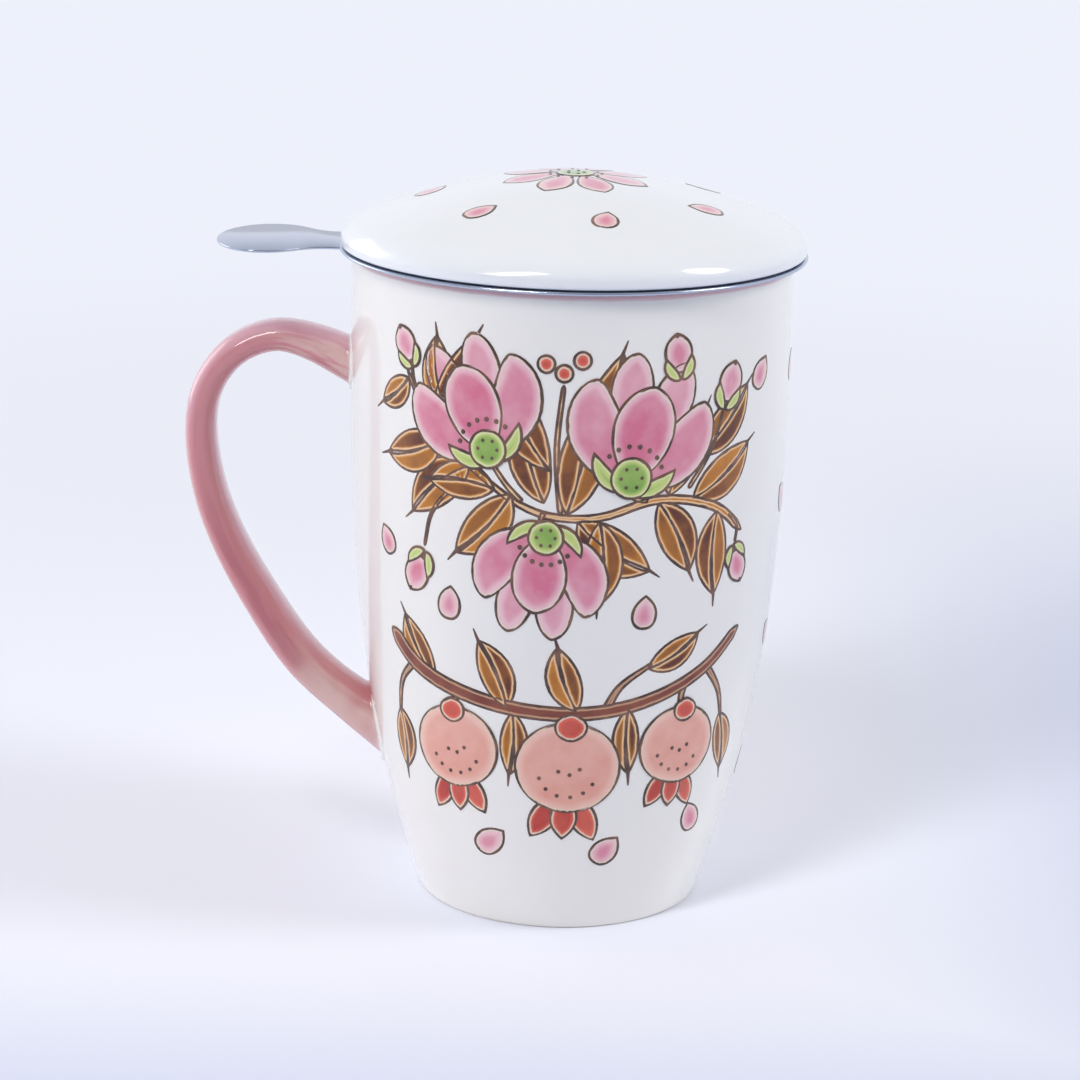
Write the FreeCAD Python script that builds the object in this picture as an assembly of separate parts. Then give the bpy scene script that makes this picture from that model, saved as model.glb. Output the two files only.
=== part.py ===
"""Lidded porcelain tea mug with a loose steel infuser basket.

Lengths are millimetres and angles degrees. The origin is on the table at the
mug's own axis, +Z is up, and the handle and the infuser's thumb tab point to -X.
The infuser hangs by its flange on the mug's lip, and the domed lid stands on
that flange, with a ring under it that drops into the basket.
"""
import FreeCAD, Part
import math
import os
from FreeCAD import Vector

# Mug body
mouth_radius = 41.6
mug_height = 125.5
foot_radius = 27.3
belly_top = 110.0
belly_power = 2.7
mug_wall = 3.2
lip_round = 1.0
floor_thickness = 5.0
floor_corner = 9.0
foot_ring_width = 2.8
foot_recess_depth = 2.0
foot_recess_taper = 0.8
foot_round = 0.6

# Handle: its line is given by shape fractions below, its section by these sizes
handle_reach = 28.8
handle_top_below_lip = 22.0
handle_bottom_height = 29.8
handle_thickness = 5.9
handle_width = 10.6
handle_low_thickness = 7.8
handle_low_width = 11.6
handle_top_thickness = 8.6
handle_top_width = 12.8
handle_end_thickness = 11.0
handle_end_width = 13.8
handle_section_power = 2.5
handle_top_root = 3.0
handle_end_root = 7.0

# Infuser basket, made of sheet steel
rim_sheet = 0.5
flange_overhang = 2.4
hem_thickness = 0.9
hem_clearance = 1.1
bend_radius = 1.2
collar_depth = 9.0
basket_depth = 66.0
basket_clearance = 1.25
basket_sheet = 0.4
weld_gap = 0.05
cup_corner = 1.4
cup_skirt = 4.0

# Perforation, coarser here than the fine etched holes of the real sheet
hole_radius = 0.75
hole_pitch = 6.2
hole_margin = 4.0
pin_length = 3.0 * basket_sheet

# Thumb tab of the infuser, one piece with its flange
tab_reach = 23.3
tab_width = 28.6
tab_neck_width = 16.4
tab_blade_length = 9.6
tab_straight_neck = 0.8
tab_turn = 2.9

# Lid
lid_setback = 0.3
lid_edge_height = 1.6
lid_shoulder_width = 4.7
lid_shoulder_height = 6.1
lid_height = 14.2
lid_dome_power = 1.75
lid_wall = 3.4
lid_foot_round = 0.5
ring_clearance = 1.0
ring_width = 3.2
ring_depth = 6.0
ring_round = 0.9

# How far a rounded edge's handles reach to its corner, which makes it a quarter ellipse
round_fullness = 0.5523

# A rounding takes at most this share of the wall that it rounds
round_share = 0.4

# How near a circle's radius and height have to be to those asked for
match = 1e-4

# Handle line: how far out of the mouth's radius, as a share of the reach, and
# how high between its two joints, as a share of their distance
handle_line = (
    (0.240, 1.041),
    (0.510, 1.059),
    (0.781, 1.011),
    (0.958, 0.905),
    (0.986, 0.765),
    (0.882, 0.581),
    (0.622, 0.375),
    (0.240, 0.166),
)

# Where the handle grows stout, and where it spreads at its two joints, as
# shares of its length
handle_stout = (0.25, 0.90)
handle_top_spread = (0.0, 0.16)
handle_end_spread = (0.82, 1.0)

# How finely the free curves are drawn
wall_steps = 9
dome_steps = 6
handle_sections = 18
section_points = 16


def mug_radius(height):
    """Outer radius of the mug: wide at the mouth, drawn in towards the foot."""
    drawn_in = max(0.0, 1.0 - height / belly_top) ** belly_power
    return mouth_radius - (mouth_radius - foot_radius) * drawn_in


# Places that follow from the sizes above
cavity_floor = foot_recess_depth + floor_thickness
flange_top = mug_height + rim_sheet
flange_radius = mouth_radius + flange_overhang
hem_inner_radius = mouth_radius + hem_clearance
basket_bottom = mug_height - basket_depth
basket_radius = mug_radius(basket_bottom) - mug_wall - basket_clearance
basket_inner_radius = basket_radius - basket_sheet
collar_inner_radius = basket_radius + weld_gap
collar_outer_radius = collar_inner_radius + rim_sheet
lid_radius = flange_radius - lid_setback
ring_outer_radius = basket_inner_radius - ring_clearance
ring_inner_radius = ring_outer_radius - ring_width


def smooth_edge(points, start, end):
    """A spline edge through points, leaving and arriving along two directions."""
    curve = Part.BSplineCurve()
    curve.interpolate(Points=points, InitialTangent=start, FinalTangent=end)
    return curve.toShape()


def turned_edge(start, corner, end, fullness=round_fullness):
    """A rounded edge that leaves start towards corner and reaches end from it."""
    curve = Part.BezierCurve()
    curve.setPoles([
        start,
        start + (corner - start) * fullness,
        end + (corner - end) * fullness,
        end,
    ])
    return curve.toShape()


def swept_edge(start, end, along):
    """A gentle S from start to end that leaves and arrives along one direction."""
    curve = Part.BezierCurve()
    curve.setPoles([start, start + along, end - along, end])
    return curve.toShape()


def line_edges(points):
    """Straight edges from each point to the next."""
    return [Part.makeLine(a, b) for a, b in zip(points, points[1:])]


def revolved(edges):
    """The solid that a closed outline in the XZ plane sweeps about the Z axis."""
    face = Part.Face(Part.Wire(Part.__sortEdges__(edges)))
    return face.revolve(Vector(0, 0, 0), Vector(0, 0, 1), 360)


def ring_edges(solid, radius, height):
    """The circular edges of a solid that have this radius at this height."""
    found = []
    for edge in solid.Edges:
        if edge.Degenerated or not isinstance(edge.Curve, Part.Circle):
            continue
        curve = edge.Curve
        if abs(curve.Radius - radius) < match and abs(curve.Center.z - height) < match:
            found.append(edge)
    return found


def side_wall(inset, bottom, top):
    """Outline edges of the mug's side, set in from its outside, bottom to top."""
    heights = [bottom + (belly_top - bottom) * k / wall_steps for k in range(wall_steps + 1)]
    points = [Vector(mug_radius(z) - inset, 0, z) for z in heights]
    probe = 0.01
    start = Vector(mug_radius(bottom + probe) - mug_radius(bottom), 0, probe).normalize()
    belly = smooth_edge(points, start, Vector(0, 0, 1))
    upright = Part.makeLine(points[-1], Vector(mouth_radius - inset, 0, top))
    return [belly, upright]


def mug_envelope():
    """The mug as a full body, before its inside is hollowed."""
    edges = side_wall(0.0, 0.0, mug_height)
    edges += line_edges([
        Vector(mouth_radius, 0, mug_height),
        Vector(0, 0, mug_height),
        Vector(0, 0, 0),
        Vector(foot_radius, 0, 0),
    ])
    return revolved(edges)


def mug_body():
    """Porcelain shell with a rounded lip, a round inner floor and a foot ring."""
    open_top = mug_height + lip_round
    edges = side_wall(mug_wall, cavity_floor, open_top)
    floor_radius = mug_radius(cavity_floor) - mug_wall
    edges += line_edges([
        Vector(mouth_radius - mug_wall, 0, open_top),
        Vector(0, 0, open_top),
        Vector(0, 0, cavity_floor),
        Vector(floor_radius, 0, cavity_floor),
    ])
    cavity = revolved(edges)
    cavity = cavity.makeFillet(floor_corner, ring_edges(cavity, floor_radius, cavity_floor))

    recess_radius = foot_radius - foot_ring_width
    recess = Part.makeCone(recess_radius, recess_radius - foot_recess_taper, foot_recess_depth)
    body = mug_envelope().cut(cavity).cut(recess)

    lip = min(lip_round, round_share * mug_wall)
    lip_edges = ring_edges(body, mouth_radius, mug_height)
    lip_edges += ring_edges(body, mouth_radius - mug_wall, mug_height)
    body = body.makeFillet(lip, lip_edges)
    foot = min(foot_round, round_share * foot_ring_width)
    foot_edges = ring_edges(body, foot_radius, 0.0) + ring_edges(body, recess_radius, 0.0)
    return body.makeFillet(foot, foot_edges)


def handle_curve():
    """Centre line of the handle, from inside the wall at the top to the bottom."""
    top = mug_height - handle_top_below_lip
    bottom = handle_bottom_height
    low = bottom - handle_end_root / 2.0
    points = [Vector(handle_top_root - mug_radius(top), 0, top - handle_top_root / 2.0)]
    for out, up in handle_line:
        x = -(mouth_radius + handle_reach * out)
        points.append(Vector(x, 0, bottom + (top - bottom) * up))
    points.append(Vector(handle_end_root - mug_radius(low), 0, low))
    curve = Part.BSplineCurve()
    curve.interpolate(Points=points)
    return curve


def handle_section(curve, along):
    """Rounded section of the handle at a share of its length, as a closed wire."""
    first, last = curve.FirstParameter, curve.LastParameter
    at = first + (last - first) * along
    centre = curve.value(at)
    forward = Vector(*curve.tangent(at)[0])
    across = Vector(0, 1, 0)
    outward = forward.cross(across)

    stout = smooth_step(*handle_stout, along)
    thick = handle_thickness + (handle_low_thickness - handle_thickness) * stout
    wide = handle_width + (handle_low_width - handle_width) * stout
    top_flare = 1.0 - smooth_step(*handle_top_spread, along)
    end_flare = smooth_step(*handle_end_spread, along)
    thick += (handle_top_thickness - handle_thickness) * top_flare
    wide += (handle_top_width - handle_width) * top_flare
    thick += (handle_end_thickness - handle_low_thickness) * end_flare
    wide += (handle_end_width - handle_low_width) * end_flare

    points = []
    for k in range(section_points):
        turn = 2.0 * math.pi * k / section_points
        c = math.cos(turn)
        s = math.sin(turn)
        a = math.copysign(abs(c) ** (2.0 / handle_section_power), c) * thick / 2.0
        b = math.copysign(abs(s) ** (2.0 / handle_section_power), s) * wide / 2.0
        points.append(centre + outward * a + across * b)
    ring = Part.BSplineCurve()
    ring.interpolate(Points=points, PeriodicFlag=True)
    return Part.Wire(ring.toShape())


def smooth_step(low, high, value):
    """0 below low, 1 above high, and a smooth rise between them."""
    t = min(1.0, max(0.0, (value - low) / (high - low)))
    return t * t * (3.0 - 2.0 * t)


def mug_handle():
    """Cast loop handle, trimmed to the mug's outside where it is luted on."""
    curve = handle_curve()
    last = handle_sections - 1
    wires = [handle_section(curve, k / last) for k in range(handle_sections)]
    loop = Part.makeLoft(wires, True, False)
    trimmed = loop.cut(mug_envelope())
    return max(trimmed.Solids, key=lambda solid: solid.Volume)


def infuser_rim():
    """Stamped ring: collar, flange with a hemmed edge, and the thumb tab."""
    top = flange_top
    under = top - rim_sheet
    outer_bend = bend_radius + rim_sheet
    bend_centre = Vector(collar_outer_radius + bend_radius, 0, under - bend_radius)
    diagonal = Vector(-1, 0, 1).normalize()
    collar_bottom = top - collar_depth
    hem_bottom = top - hem_thickness
    hem_round = hem_thickness / 2.0

    crown_start = Vector(collar_inner_radius, 0, bend_centre.z)
    crown_end = Vector(bend_centre.x, 0, top)
    edge_start = Vector(flange_radius - hem_round, 0, top)
    edge_end = Vector(flange_radius - hem_round, 0, hem_bottom)
    under_start = Vector(bend_centre.x, 0, under)
    under_end = Vector(collar_outer_radius, 0, bend_centre.z)

    edges = line_edges([Vector(collar_inner_radius, 0, collar_bottom), crown_start])
    edges.append(Part.Arc(crown_start, bend_centre + diagonal * outer_bend, crown_end).toShape())
    edges += line_edges([crown_end, edge_start])
    edge_middle = Vector(flange_radius, 0, top - hem_round)
    edges.append(Part.Arc(edge_start, edge_middle, edge_end).toShape())
    edges += line_edges([
        edge_end,
        Vector(hem_inner_radius, 0, hem_bottom),
        Vector(hem_inner_radius, 0, under),
        under_start,
    ])
    edges.append(Part.Arc(under_start, bend_centre + diagonal * bend_radius, under_end).toShape())
    edges += line_edges([
        under_end,
        Vector(collar_outer_radius, 0, collar_bottom),
        Vector(collar_inner_radius, 0, collar_bottom),
    ])
    return revolved(edges).fuse(thumb_tab()).removeSplitter()


def thumb_tab():
    """Flat spoon-shaped tab in the plane of the flange, turned past the handle."""
    under = flange_top - rim_sheet
    tip = flange_radius + tab_reach
    widest = tip - tab_blade_length
    half = tab_width / 2.0
    neck = tab_neck_width / 2.0
    neck_end = flange_radius + tab_straight_neck

    root_corners = [Vector(-hem_inner_radius, side * neck, under) for side in (-1, 1)]
    outline = line_edges(root_corners)
    for side, root_corner in zip((-1, 1), root_corners):
        neck_corner = Vector(-neck_end, side * neck, under)
        shoulder = Vector(-widest, side * half, under)
        outline.append(Part.makeLine(root_corner, neck_corner))
        outline.append(swept_edge(neck_corner, shoulder, Vector((neck_end - widest) / 2.0, 0, 0)))
        outline.append(turned_edge(shoulder, Vector(-tip, side * half, under), Vector(-tip, 0, under)))
    face = Part.Face(Part.Wire(Part.__sortEdges__(outline)))
    tab = face.extrude(Vector(0, 0, rim_sheet))
    tab.rotate(Vector(0, 0, 0), Vector(0, 0, 1), -tab_turn)
    return tab


def infuser_wall():
    """Rolled tube of perforated sheet, welded inside the collar."""
    bottom = basket_bottom + cup_corner
    top = flange_top - bend_radius - rim_sheet
    length = top - bottom
    foot = Vector(0, 0, bottom)
    tube = Part.makeCylinder(basket_radius, length, foot)
    tube = tube.cut(Part.makeCylinder(basket_inner_radius, length, foot))

    first = basket_bottom + cup_skirt + hole_margin
    last = flange_top - collar_depth - hole_margin
    rows = max(2, int((last - first) / (hole_pitch * math.sqrt(0.75))) + 1)
    columns = max(6, int(2.0 * math.pi * basket_radius / hole_pitch))
    row_step = (last - first) / (rows - 1)
    pins = []
    for row in range(rows):
        for column in range(columns):
            turn = 2.0 * math.pi * (column + 0.5 * (row % 2)) / columns
            out = Vector(math.cos(turn), math.sin(turn), 0)
            start = out * (basket_inner_radius - basket_sheet)
            start.z = first + row * row_step
            pins.append(Part.makeCylinder(hole_radius, pin_length, start, out))
    return tube.cut(Part.makeCompound(pins))


def infuser_floor():
    """Shallow pressed cup that closes the basket, with its skirt welded inside."""
    radius = basket_inner_radius - weld_gap
    height = cup_skirt + cup_corner
    outside = Part.makeCylinder(radius, height, Vector(0, 0, basket_bottom))
    outside = outside.makeFillet(cup_corner, ring_edges(outside, radius, basket_bottom))
    inner_radius = radius - basket_sheet
    inner_floor = basket_bottom + basket_sheet
    inside = Part.makeCylinder(inner_radius, height, Vector(0, 0, inner_floor))
    inner_corner = cup_corner - basket_sheet
    inside = inside.makeFillet(inner_corner, ring_edges(inside, inner_radius, inner_floor))
    cup = outside.cut(inside)

    reach = radius - cup_corner - hole_margin / 2.0
    row_step = hole_pitch * math.sqrt(0.75)
    rows = int(reach / row_step)
    pins = []
    for row in range(-rows, rows + 1):
        y = row * row_step
        shift = 0.5 * hole_pitch * (row % 2)
        columns = int(reach / hole_pitch) + 1
        for column in range(-columns, columns + 1):
            x = column * hole_pitch + shift
            if math.hypot(x, y) > reach:
                continue
            start = Vector(x, y, basket_bottom - basket_sheet)
            pins.append(Part.makeCylinder(hole_radius, pin_length, start))
    return cup.cut(Part.makeCompound(pins))


def dome_height(radius):
    """Height of the lid's dome above its foot, inside the shoulder."""
    share = radius / (lid_radius - lid_shoulder_width)
    return lid_shoulder_height + (lid_height - lid_shoulder_height) * (1.0 - share ** lid_dome_power)


def dome_edge(outer_radius, sink):
    """Spline over the dome from a radius to the apex, lowered by sink."""
    radii = [outer_radius * (1.0 - k / dome_steps) for k in range(dome_steps + 1)]
    points = [Vector(r, 0, flange_top + dome_height(r) - sink) for r in radii]
    probe = 0.01
    fall = dome_height(outer_radius - probe) - dome_height(outer_radius)
    start = Vector(-probe, 0, fall).normalize()
    return smooth_edge(points, start, Vector(-1, 0, 0)), points[0], points[-1], start


def lid():
    """Domed porcelain lid, flat underneath, with a locating ring."""
    foot = flange_top
    ring_bottom = foot - ring_depth
    outer_dome, shoulder, apex, slope = dome_edge(lid_radius - lid_shoulder_width, 0.0)
    inner_dome, ring_top, inner_apex, _ = dome_edge(ring_inner_radius, lid_wall)
    edge_top = Vector(lid_radius, 0, foot + lid_edge_height)
    rise = (lid_radius - shoulder.x) / slope.x * slope.z
    rounding = turned_edge(edge_top, shoulder + Vector(lid_radius - shoulder.x, 0, rise), shoulder)
    edges = line_edges([
        ring_top,
        Vector(ring_inner_radius, 0, ring_bottom),
        Vector(ring_outer_radius, 0, ring_bottom),
        Vector(ring_outer_radius, 0, foot),
        Vector(lid_radius, 0, foot),
        edge_top,
    ])
    edges += [rounding, outer_dome, Part.makeLine(apex, inner_apex), inner_dome]
    shell = revolved(edges)
    ring_edge = min(ring_round, round_share * ring_width)
    rounds = ring_edges(shell, ring_inner_radius, ring_bottom)
    rounds += ring_edges(shell, ring_outer_radius, ring_bottom)
    shell = shell.makeFillet(ring_edge, rounds)
    return shell.makeFillet(lid_foot_round, ring_edges(shell, lid_radius, foot))


pieces = {
    "mug_body": mug_body,
    "mug_handle": mug_handle,
    "infuser_rim": infuser_rim,
    "infuser_wall": infuser_wall,
    "infuser_floor": infuser_floor,
    "lid": lid,
}

os.makedirs("parts", exist_ok=True)
for name, make in pieces.items():
    make().exportStep("parts/" + name + ".step")
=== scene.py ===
"""Looks of a lidded porcelain tea mug with a loose steel infuser.

Lengths are metres in the part's own frame: the mug stands on z = 0 about the Z
axis, its front faces -Y, and the handle and the infuser's thumb tab point to -X.
Drawings painted on it are laid out flat, in millimetres, and then wrapped on.
"""
import bmesh
import bpy
import math
import random
from bpy.props import FloatProperty, FloatVectorProperty, IntProperty, PointerProperty
from mathutils import Matrix, Quaternion, Vector
from mathutils.geometry import interpolate_bezier
from mathutils.kdtree import KDTree


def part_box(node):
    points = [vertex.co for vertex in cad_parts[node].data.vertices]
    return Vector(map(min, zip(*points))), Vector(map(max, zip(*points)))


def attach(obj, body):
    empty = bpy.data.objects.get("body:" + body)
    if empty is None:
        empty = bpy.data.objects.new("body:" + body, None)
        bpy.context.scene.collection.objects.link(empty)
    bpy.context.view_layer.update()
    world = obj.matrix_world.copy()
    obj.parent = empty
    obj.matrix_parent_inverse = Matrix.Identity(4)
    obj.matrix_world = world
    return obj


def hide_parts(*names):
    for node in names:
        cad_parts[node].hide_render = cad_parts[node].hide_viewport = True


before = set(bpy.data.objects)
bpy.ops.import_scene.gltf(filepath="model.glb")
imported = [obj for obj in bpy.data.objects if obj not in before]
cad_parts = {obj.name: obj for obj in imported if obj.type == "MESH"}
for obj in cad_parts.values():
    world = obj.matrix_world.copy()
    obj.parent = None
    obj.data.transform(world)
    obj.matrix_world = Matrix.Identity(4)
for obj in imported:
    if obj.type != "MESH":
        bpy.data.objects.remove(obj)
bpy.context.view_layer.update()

bl_info = {
    "name": "Porcelain tea mug with infuser",
    "version": (1, 0, 0),
    "blender": (4, 5, 0),
    "location": "3D View > Sidebar > Tea mug",
    "description": "Glazed, painted and brushed pieces of a lidded tea mug",
    "category": "Object",
}

MM = 0.001
MERGE = 1e-6
# How far a quarter circle's Bezier handles reach, as a share of its radius
ROUND_PULL = 0.5523

# The light tent: how bright its walls are, and its open front, its roof and its back as shares of them;
# then how bright its darkest place is in reflections
TENT_LEVEL = 1.60
TENT_FRONT = 0.05
TENT_ROOF = 0.35
TENT_BACK = 0.7
TENT_MIRRORED = 0.3
TENT_TINT = (1.0, 0.995, 0.985)
LAMP_TINT = (1.0, 0.985, 0.96)
LAMP_DISTANCE = 1.2
LAMP_AIM = Vector((0, 0, 70.0 * MM))

# The camera as fitted to the photograph: its place, how far it looks down and is turned and rolled in
# degrees, and its focal length and the photograph's width in pixels
CAMERA_PLACE = Vector((0.578, -593.594, 234.388)) * MM
CAMERA_DOWN = 15.585
CAMERA_TURN = 0.535
CAMERA_ROLL = 1.417
FOCAL_PIXELS = 3200.0
PHOTO_PIXELS = 1080.0
SENSOR_WIDTH = 36.0

# Where the handle grows stout, and where it spreads at its two joints, as shares of its length
HANDLE_STOUT = (0.25, 0.90)
HANDLE_TOP_SPREAD = (0.0, 0.16)
HANDLE_END_SPREAD = (0.82, 1.0)

# Values stored at the points of the handle and of the painted shapes, which their glazes read
HANDLE_VALUES = ("along", "outer", "side", "clearance")
PAINT_VALUES = ("depth", "tone", "along")

mug_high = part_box("mug_body")[1]
rim_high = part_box("infuser_rim")[1]
basket_low, basket_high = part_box("infuser_wall")
cup_low, cup_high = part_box("infuser_floor")
lid_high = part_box("lid")[1]


def linear(colour):
    """The linear value of a colour written as sRGB hex."""
    channels = [int(colour[k:k + 2], 16) / 255.0 for k in (1, 3, 5)]
    return tuple(c / 12.92 if c <= 0.04045 else ((c + 0.055) / 1.055) ** 2.4 for c in channels)


def length(name, description, default):
    """A property that holds one length."""
    return FloatProperty(
        name=name, description=description, default=default, min=0.0, unit="LENGTH", precision=5)


def paint(name, description, default):
    """A property that holds one colour, given as sRGB hex."""
    return FloatVectorProperty(
        name=name, description=description, default=linear(default), min=0.0, max=1.0, size=3,
        subtype="COLOR")


def share(name, description, default):
    """A property that holds a plain number."""
    return FloatProperty(name=name, description=description, default=default, min=0.0)


class MugSizes(bpy.types.PropertyGroup):
    """Sizes of the porcelain mug and its handle."""
    mouth_radius: length("Mouth radius", "Outer radius at the lip", mug_high.x)
    height: length("Height", "Height of the lip above the table", mug_high.z)
    foot_radius: length("Foot radius", "Outer radius at the table", 27.3 * MM)
    belly_top: length("Belly top", "Height where the wall starts to draw in", 110.0 * MM)
    belly_power: share("Belly power", "How late the wall draws in towards the foot", 2.7)
    wall: length("Wall", "Thickness of the porcelain wall", 3.2 * MM)
    lip_round: length("Lip round", "Rounding of the lip", 1.0 * MM)
    cavity_floor: length("Cavity floor", "Height of the inner floor", 7.0 * MM)
    floor_corner: length("Floor corner", "Rounding between inner floor and wall", 9.0 * MM)
    foot_ring: length("Foot ring", "Width of the ring the mug stands on", 2.8 * MM)
    foot_recess: length("Foot recess", "Depth of the hollow under the mug", 2.0 * MM)
    foot_round: length("Foot round", "Rounding of the foot ring", 0.6 * MM)
    handle_reach: length("Handle reach", "How far the handle's line stands out of the mouth", 28.8 * MM)
    handle_top: length("Handle top", "Height of the upper joint", 103.5 * MM)
    handle_bottom: length("Handle bottom", "Height of the lower joint", 29.8 * MM)
    top_root: length("Top root", "How far the upper end runs on inside the wall", 3.0 * MM)
    end_root: length("End root", "How far the lower end runs on inside the wall", 7.0 * MM)
    handle_thickness: length("Handle thickness", "Thickness of the bow", 5.9 * MM)
    handle_width: length("Handle width", "Width of the bow", 10.6 * MM)
    stout: length("Stout part", "How much stouter the lower arm is", 1.9 * MM)
    top_flare: length("Top flare", "How much the upper end spreads", 2.2 * MM)
    end_flare: length("End flare", "How much the lower end spreads", 2.6 * MM)
    slip_fillet: length("Slip fillet", "Rounding where the handle is luted on", 1.0 * MM)


class InfuserSizes(bpy.types.PropertyGroup):
    """Sizes of the steel infuser."""
    flange_radius: length("Flange radius", "Outer radius of the hemmed flange", rim_high.y)
    flange_top: length("Flange top", "Height of the flange's upper face", rim_high.z)
    sheet: length("Rim sheet", "Thickness of the rim's sheet", 0.5 * MM)
    hem: length("Hem", "Thickness of the folded edge", 0.6 * MM)
    hem_inner: length("Hem inner radius", "Where the folded edge ends", 42.7 * MM)
    bend: length("Bend", "Inner radius of the bend into the collar", 1.2 * MM)
    collar_depth: length("Collar depth", "Depth of the collar", 9.0 * MM)
    basket_radius: length("Basket radius", "Outer radius of the perforated wall", basket_high.x)
    basket_sheet: length("Basket sheet", "Thickness of the perforated sheet", 0.4 * MM)
    hole_radius: length("Hole radius", "Radius of one hole", 0.5 * MM)
    hole_pitch: length("Hole pitch", "Distance from hole to hole", 2.3 * MM)
    cup_corner: length("Cup corner", "Bend at the edge of the basket's floor", 1.4 * MM)
    tab_reach: length("Tab reach", "How far the thumb tab stands out of the flange", 23.3 * MM)
    tab_width: length("Tab width", "Width of the tab's blade", 28.6 * MM)
    tab_neck: length("Tab neck", "Width of the tab's neck", 16.4 * MM)
    tab_blade: length("Tab blade", "From the widest place of the blade to its tip", 9.6 * MM)
    tab_turn: FloatProperty(
        name="Tab turn", description="How far the tab is turned past the handle",
        default=math.radians(2.9), subtype="ANGLE")


class LidSizes(bpy.types.PropertyGroup):
    """Sizes of the domed lid."""
    radius: length("Radius", "Outer radius of the lid", lid_high.x)
    edge_height: length("Edge height", "Upright part of the edge", 1.6 * MM)
    shoulder_width: length("Shoulder width", "Width of the rounded shoulder", 4.7 * MM)
    shoulder_height: length("Shoulder height", "Height of the rounded shoulder", 6.1 * MM)
    height: length("Height", "Height of the dome above the flange", lid_high.z - rim_high.z)
    dome_power: share("Dome power", "How flat the dome is on top", 1.75)
    wall: length("Wall", "Thickness of the dome", 3.4 * MM)
    foot_gap: length("Foot gap", "Dark groove between the lid's edge and the steel", 0.3 * MM)
    foot_inset: length("Foot inset", "How far inside the edge the lid stands", 2.5 * MM)
    ring_outer: length("Ring outer radius", "Outer radius of the locating ring", 34.0 * MM)
    ring_inner: length("Ring inner radius", "Inner radius of the locating ring", 30.8 * MM)
    ring_depth: length("Ring depth", "Depth of the locating ring", 6.0 * MM)
    ring_round: length("Ring round", "Rounding of the locating ring", 0.9 * MM)


class Colours(bpy.types.PropertyGroup):
    """Colours of the glazes, the paint, the steel and the studio."""
    porcelain: paint("Porcelain", "White body under a clear glaze", "#F5F3F0")
    porcelain_shade: paint("Porcelain shade", "Thicker clouds in the white", "#F0EEEC")
    # Painted light: the lid's two whites are cooler copies of the porcelain's, for the bluish light falling
    # on it from above
    lid_white_painted_cool_light: paint("Lid white", "The lid's slightly cooler white", "#EFF2F8")
    lid_clouds_painted_cool_light: paint("Lid shade", "Thicker clouds in the lid's white", "#EAEDF3")
    biscuit: paint("Biscuit", "Bare fired porcelain of the foot ring", "#DDD8CF")
    lip_pink: paint("Lip pink", "Painted band on the lip", "#E2BBC0")
    handle_pink: paint("Handle pink", "Brushed pink", "#D08A90")
    # Painted light: paler pink along the handle's outer edge
    handle_pale_lit_edge: paint("Handle pale", "Pink rubbed thin on the outer ridge", "#E7ABAC")
    handle_rose: paint("Handle rose", "Pink where the brush left more", "#C87C80")
    # Painted shade: darker pink for a crease down the middle of the faces and beside the lower joint
    handle_crease_shade: paint("Handle crease", "Pink that ran together in the middle", "#B3626A")
    # Painted reflection: lilac pink for the pale bluish tent mirrored on faces turned up and in
    handle_lilac_reflection: paint("Handle lilac", "Pooled pink on the inner side", "#D9A6B6")
    handle_tan: paint("Handle tan", "Bare patches where the glaze shows grey", "#E2C2B9")
    outline: paint("Outline", "Brown line round each painted shape", "#452C22")
    outline_warm: paint("Outline warm", "Thin places in that line", "#8A6450")
    petal: paint("Petal", "Pink glaze where it pools", "#D8718F")
    petal_pale: paint("Petal pale", "Pink glaze where it is thin", "#EFC3CC")
    petal_edge: paint("Petal edge", "Pale rim of a petal", "#EBD6CC")
    leaf: paint("Leaf", "Brown glaze where it pools", "#5C2203")
    leaf_pale: paint("Leaf pale", "Brown glaze where it is thin, amber", "#C97F16")
    leaf_edge: paint("Leaf edge", "Bright rim of a leaf", "#EFC596")
    green: paint("Green", "Green glaze where it pools", "#5F9A2C")
    green_pale: paint("Green pale", "Green glaze where it is thin", "#C6D67C")
    green_edge: paint("Green edge", "Pale rim of a green shape", "#DDE0A8")
    salmon: paint("Salmon", "Salmon glaze where it pools", "#E59C8B")
    salmon_pale: paint("Salmon pale", "Salmon glaze where it is thin", "#F2C4B6")
    salmon_edge: paint("Salmon edge", "Pale rim of a fruit", "#EBCDB6")
    coral: paint("Coral", "Coral glaze where it pools", "#B92E22")
    coral_pale: paint("Coral pale", "Coral glaze where it is thin", "#E06450")
    coral_edge: paint("Coral edge", "Pale rim of a crown", "#EBCDB6")
    twig: paint("Twig", "Red brown of the twig", "#6B2014")
    twig_pale: paint("Twig pale", "Red brown where it is thin", "#B06A4A")
    twig_edge: paint("Twig edge", "Tan rim of the twig", "#C79A78")
    rim_steel: paint("Rim steel", "Stamped stainless steel", "#BDC5D6")
    sheet_steel: paint("Sheet steel", "Rolled stainless steel", "#C6C8CB")
    floor_near: paint("Floor near", "Table round the mug", "#EFF2FF")
    floor_far: paint("Floor far", "Table far behind the mug", "#EEF1FB")
    floor_dim: paint("Floor dim", "The table's dimmer places, at the right and near the camera", "#CBD3EC")


class Detail(bpy.types.PropertyGroup):
    """How finely the round pieces are divided, and where the chances of the drops start."""
    turns: IntProperty(name="Turn steps", description="Steps of one full turn", default=192, min=24)
    seed: IntProperty(name="Seed", description="Start of the drops' small chances", default=11)


def mug_radius(height):
    """Outer radius of the mug: wide at the mouth, drawn in towards the foot."""
    sizes = bpy.context.scene.mug_sizes
    drawn_in = max(0.0, 1.0 - height / sizes.belly_top) ** sizes.belly_power
    return sizes.mouth_radius - (sizes.mouth_radius - sizes.foot_radius) * drawn_in


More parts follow.
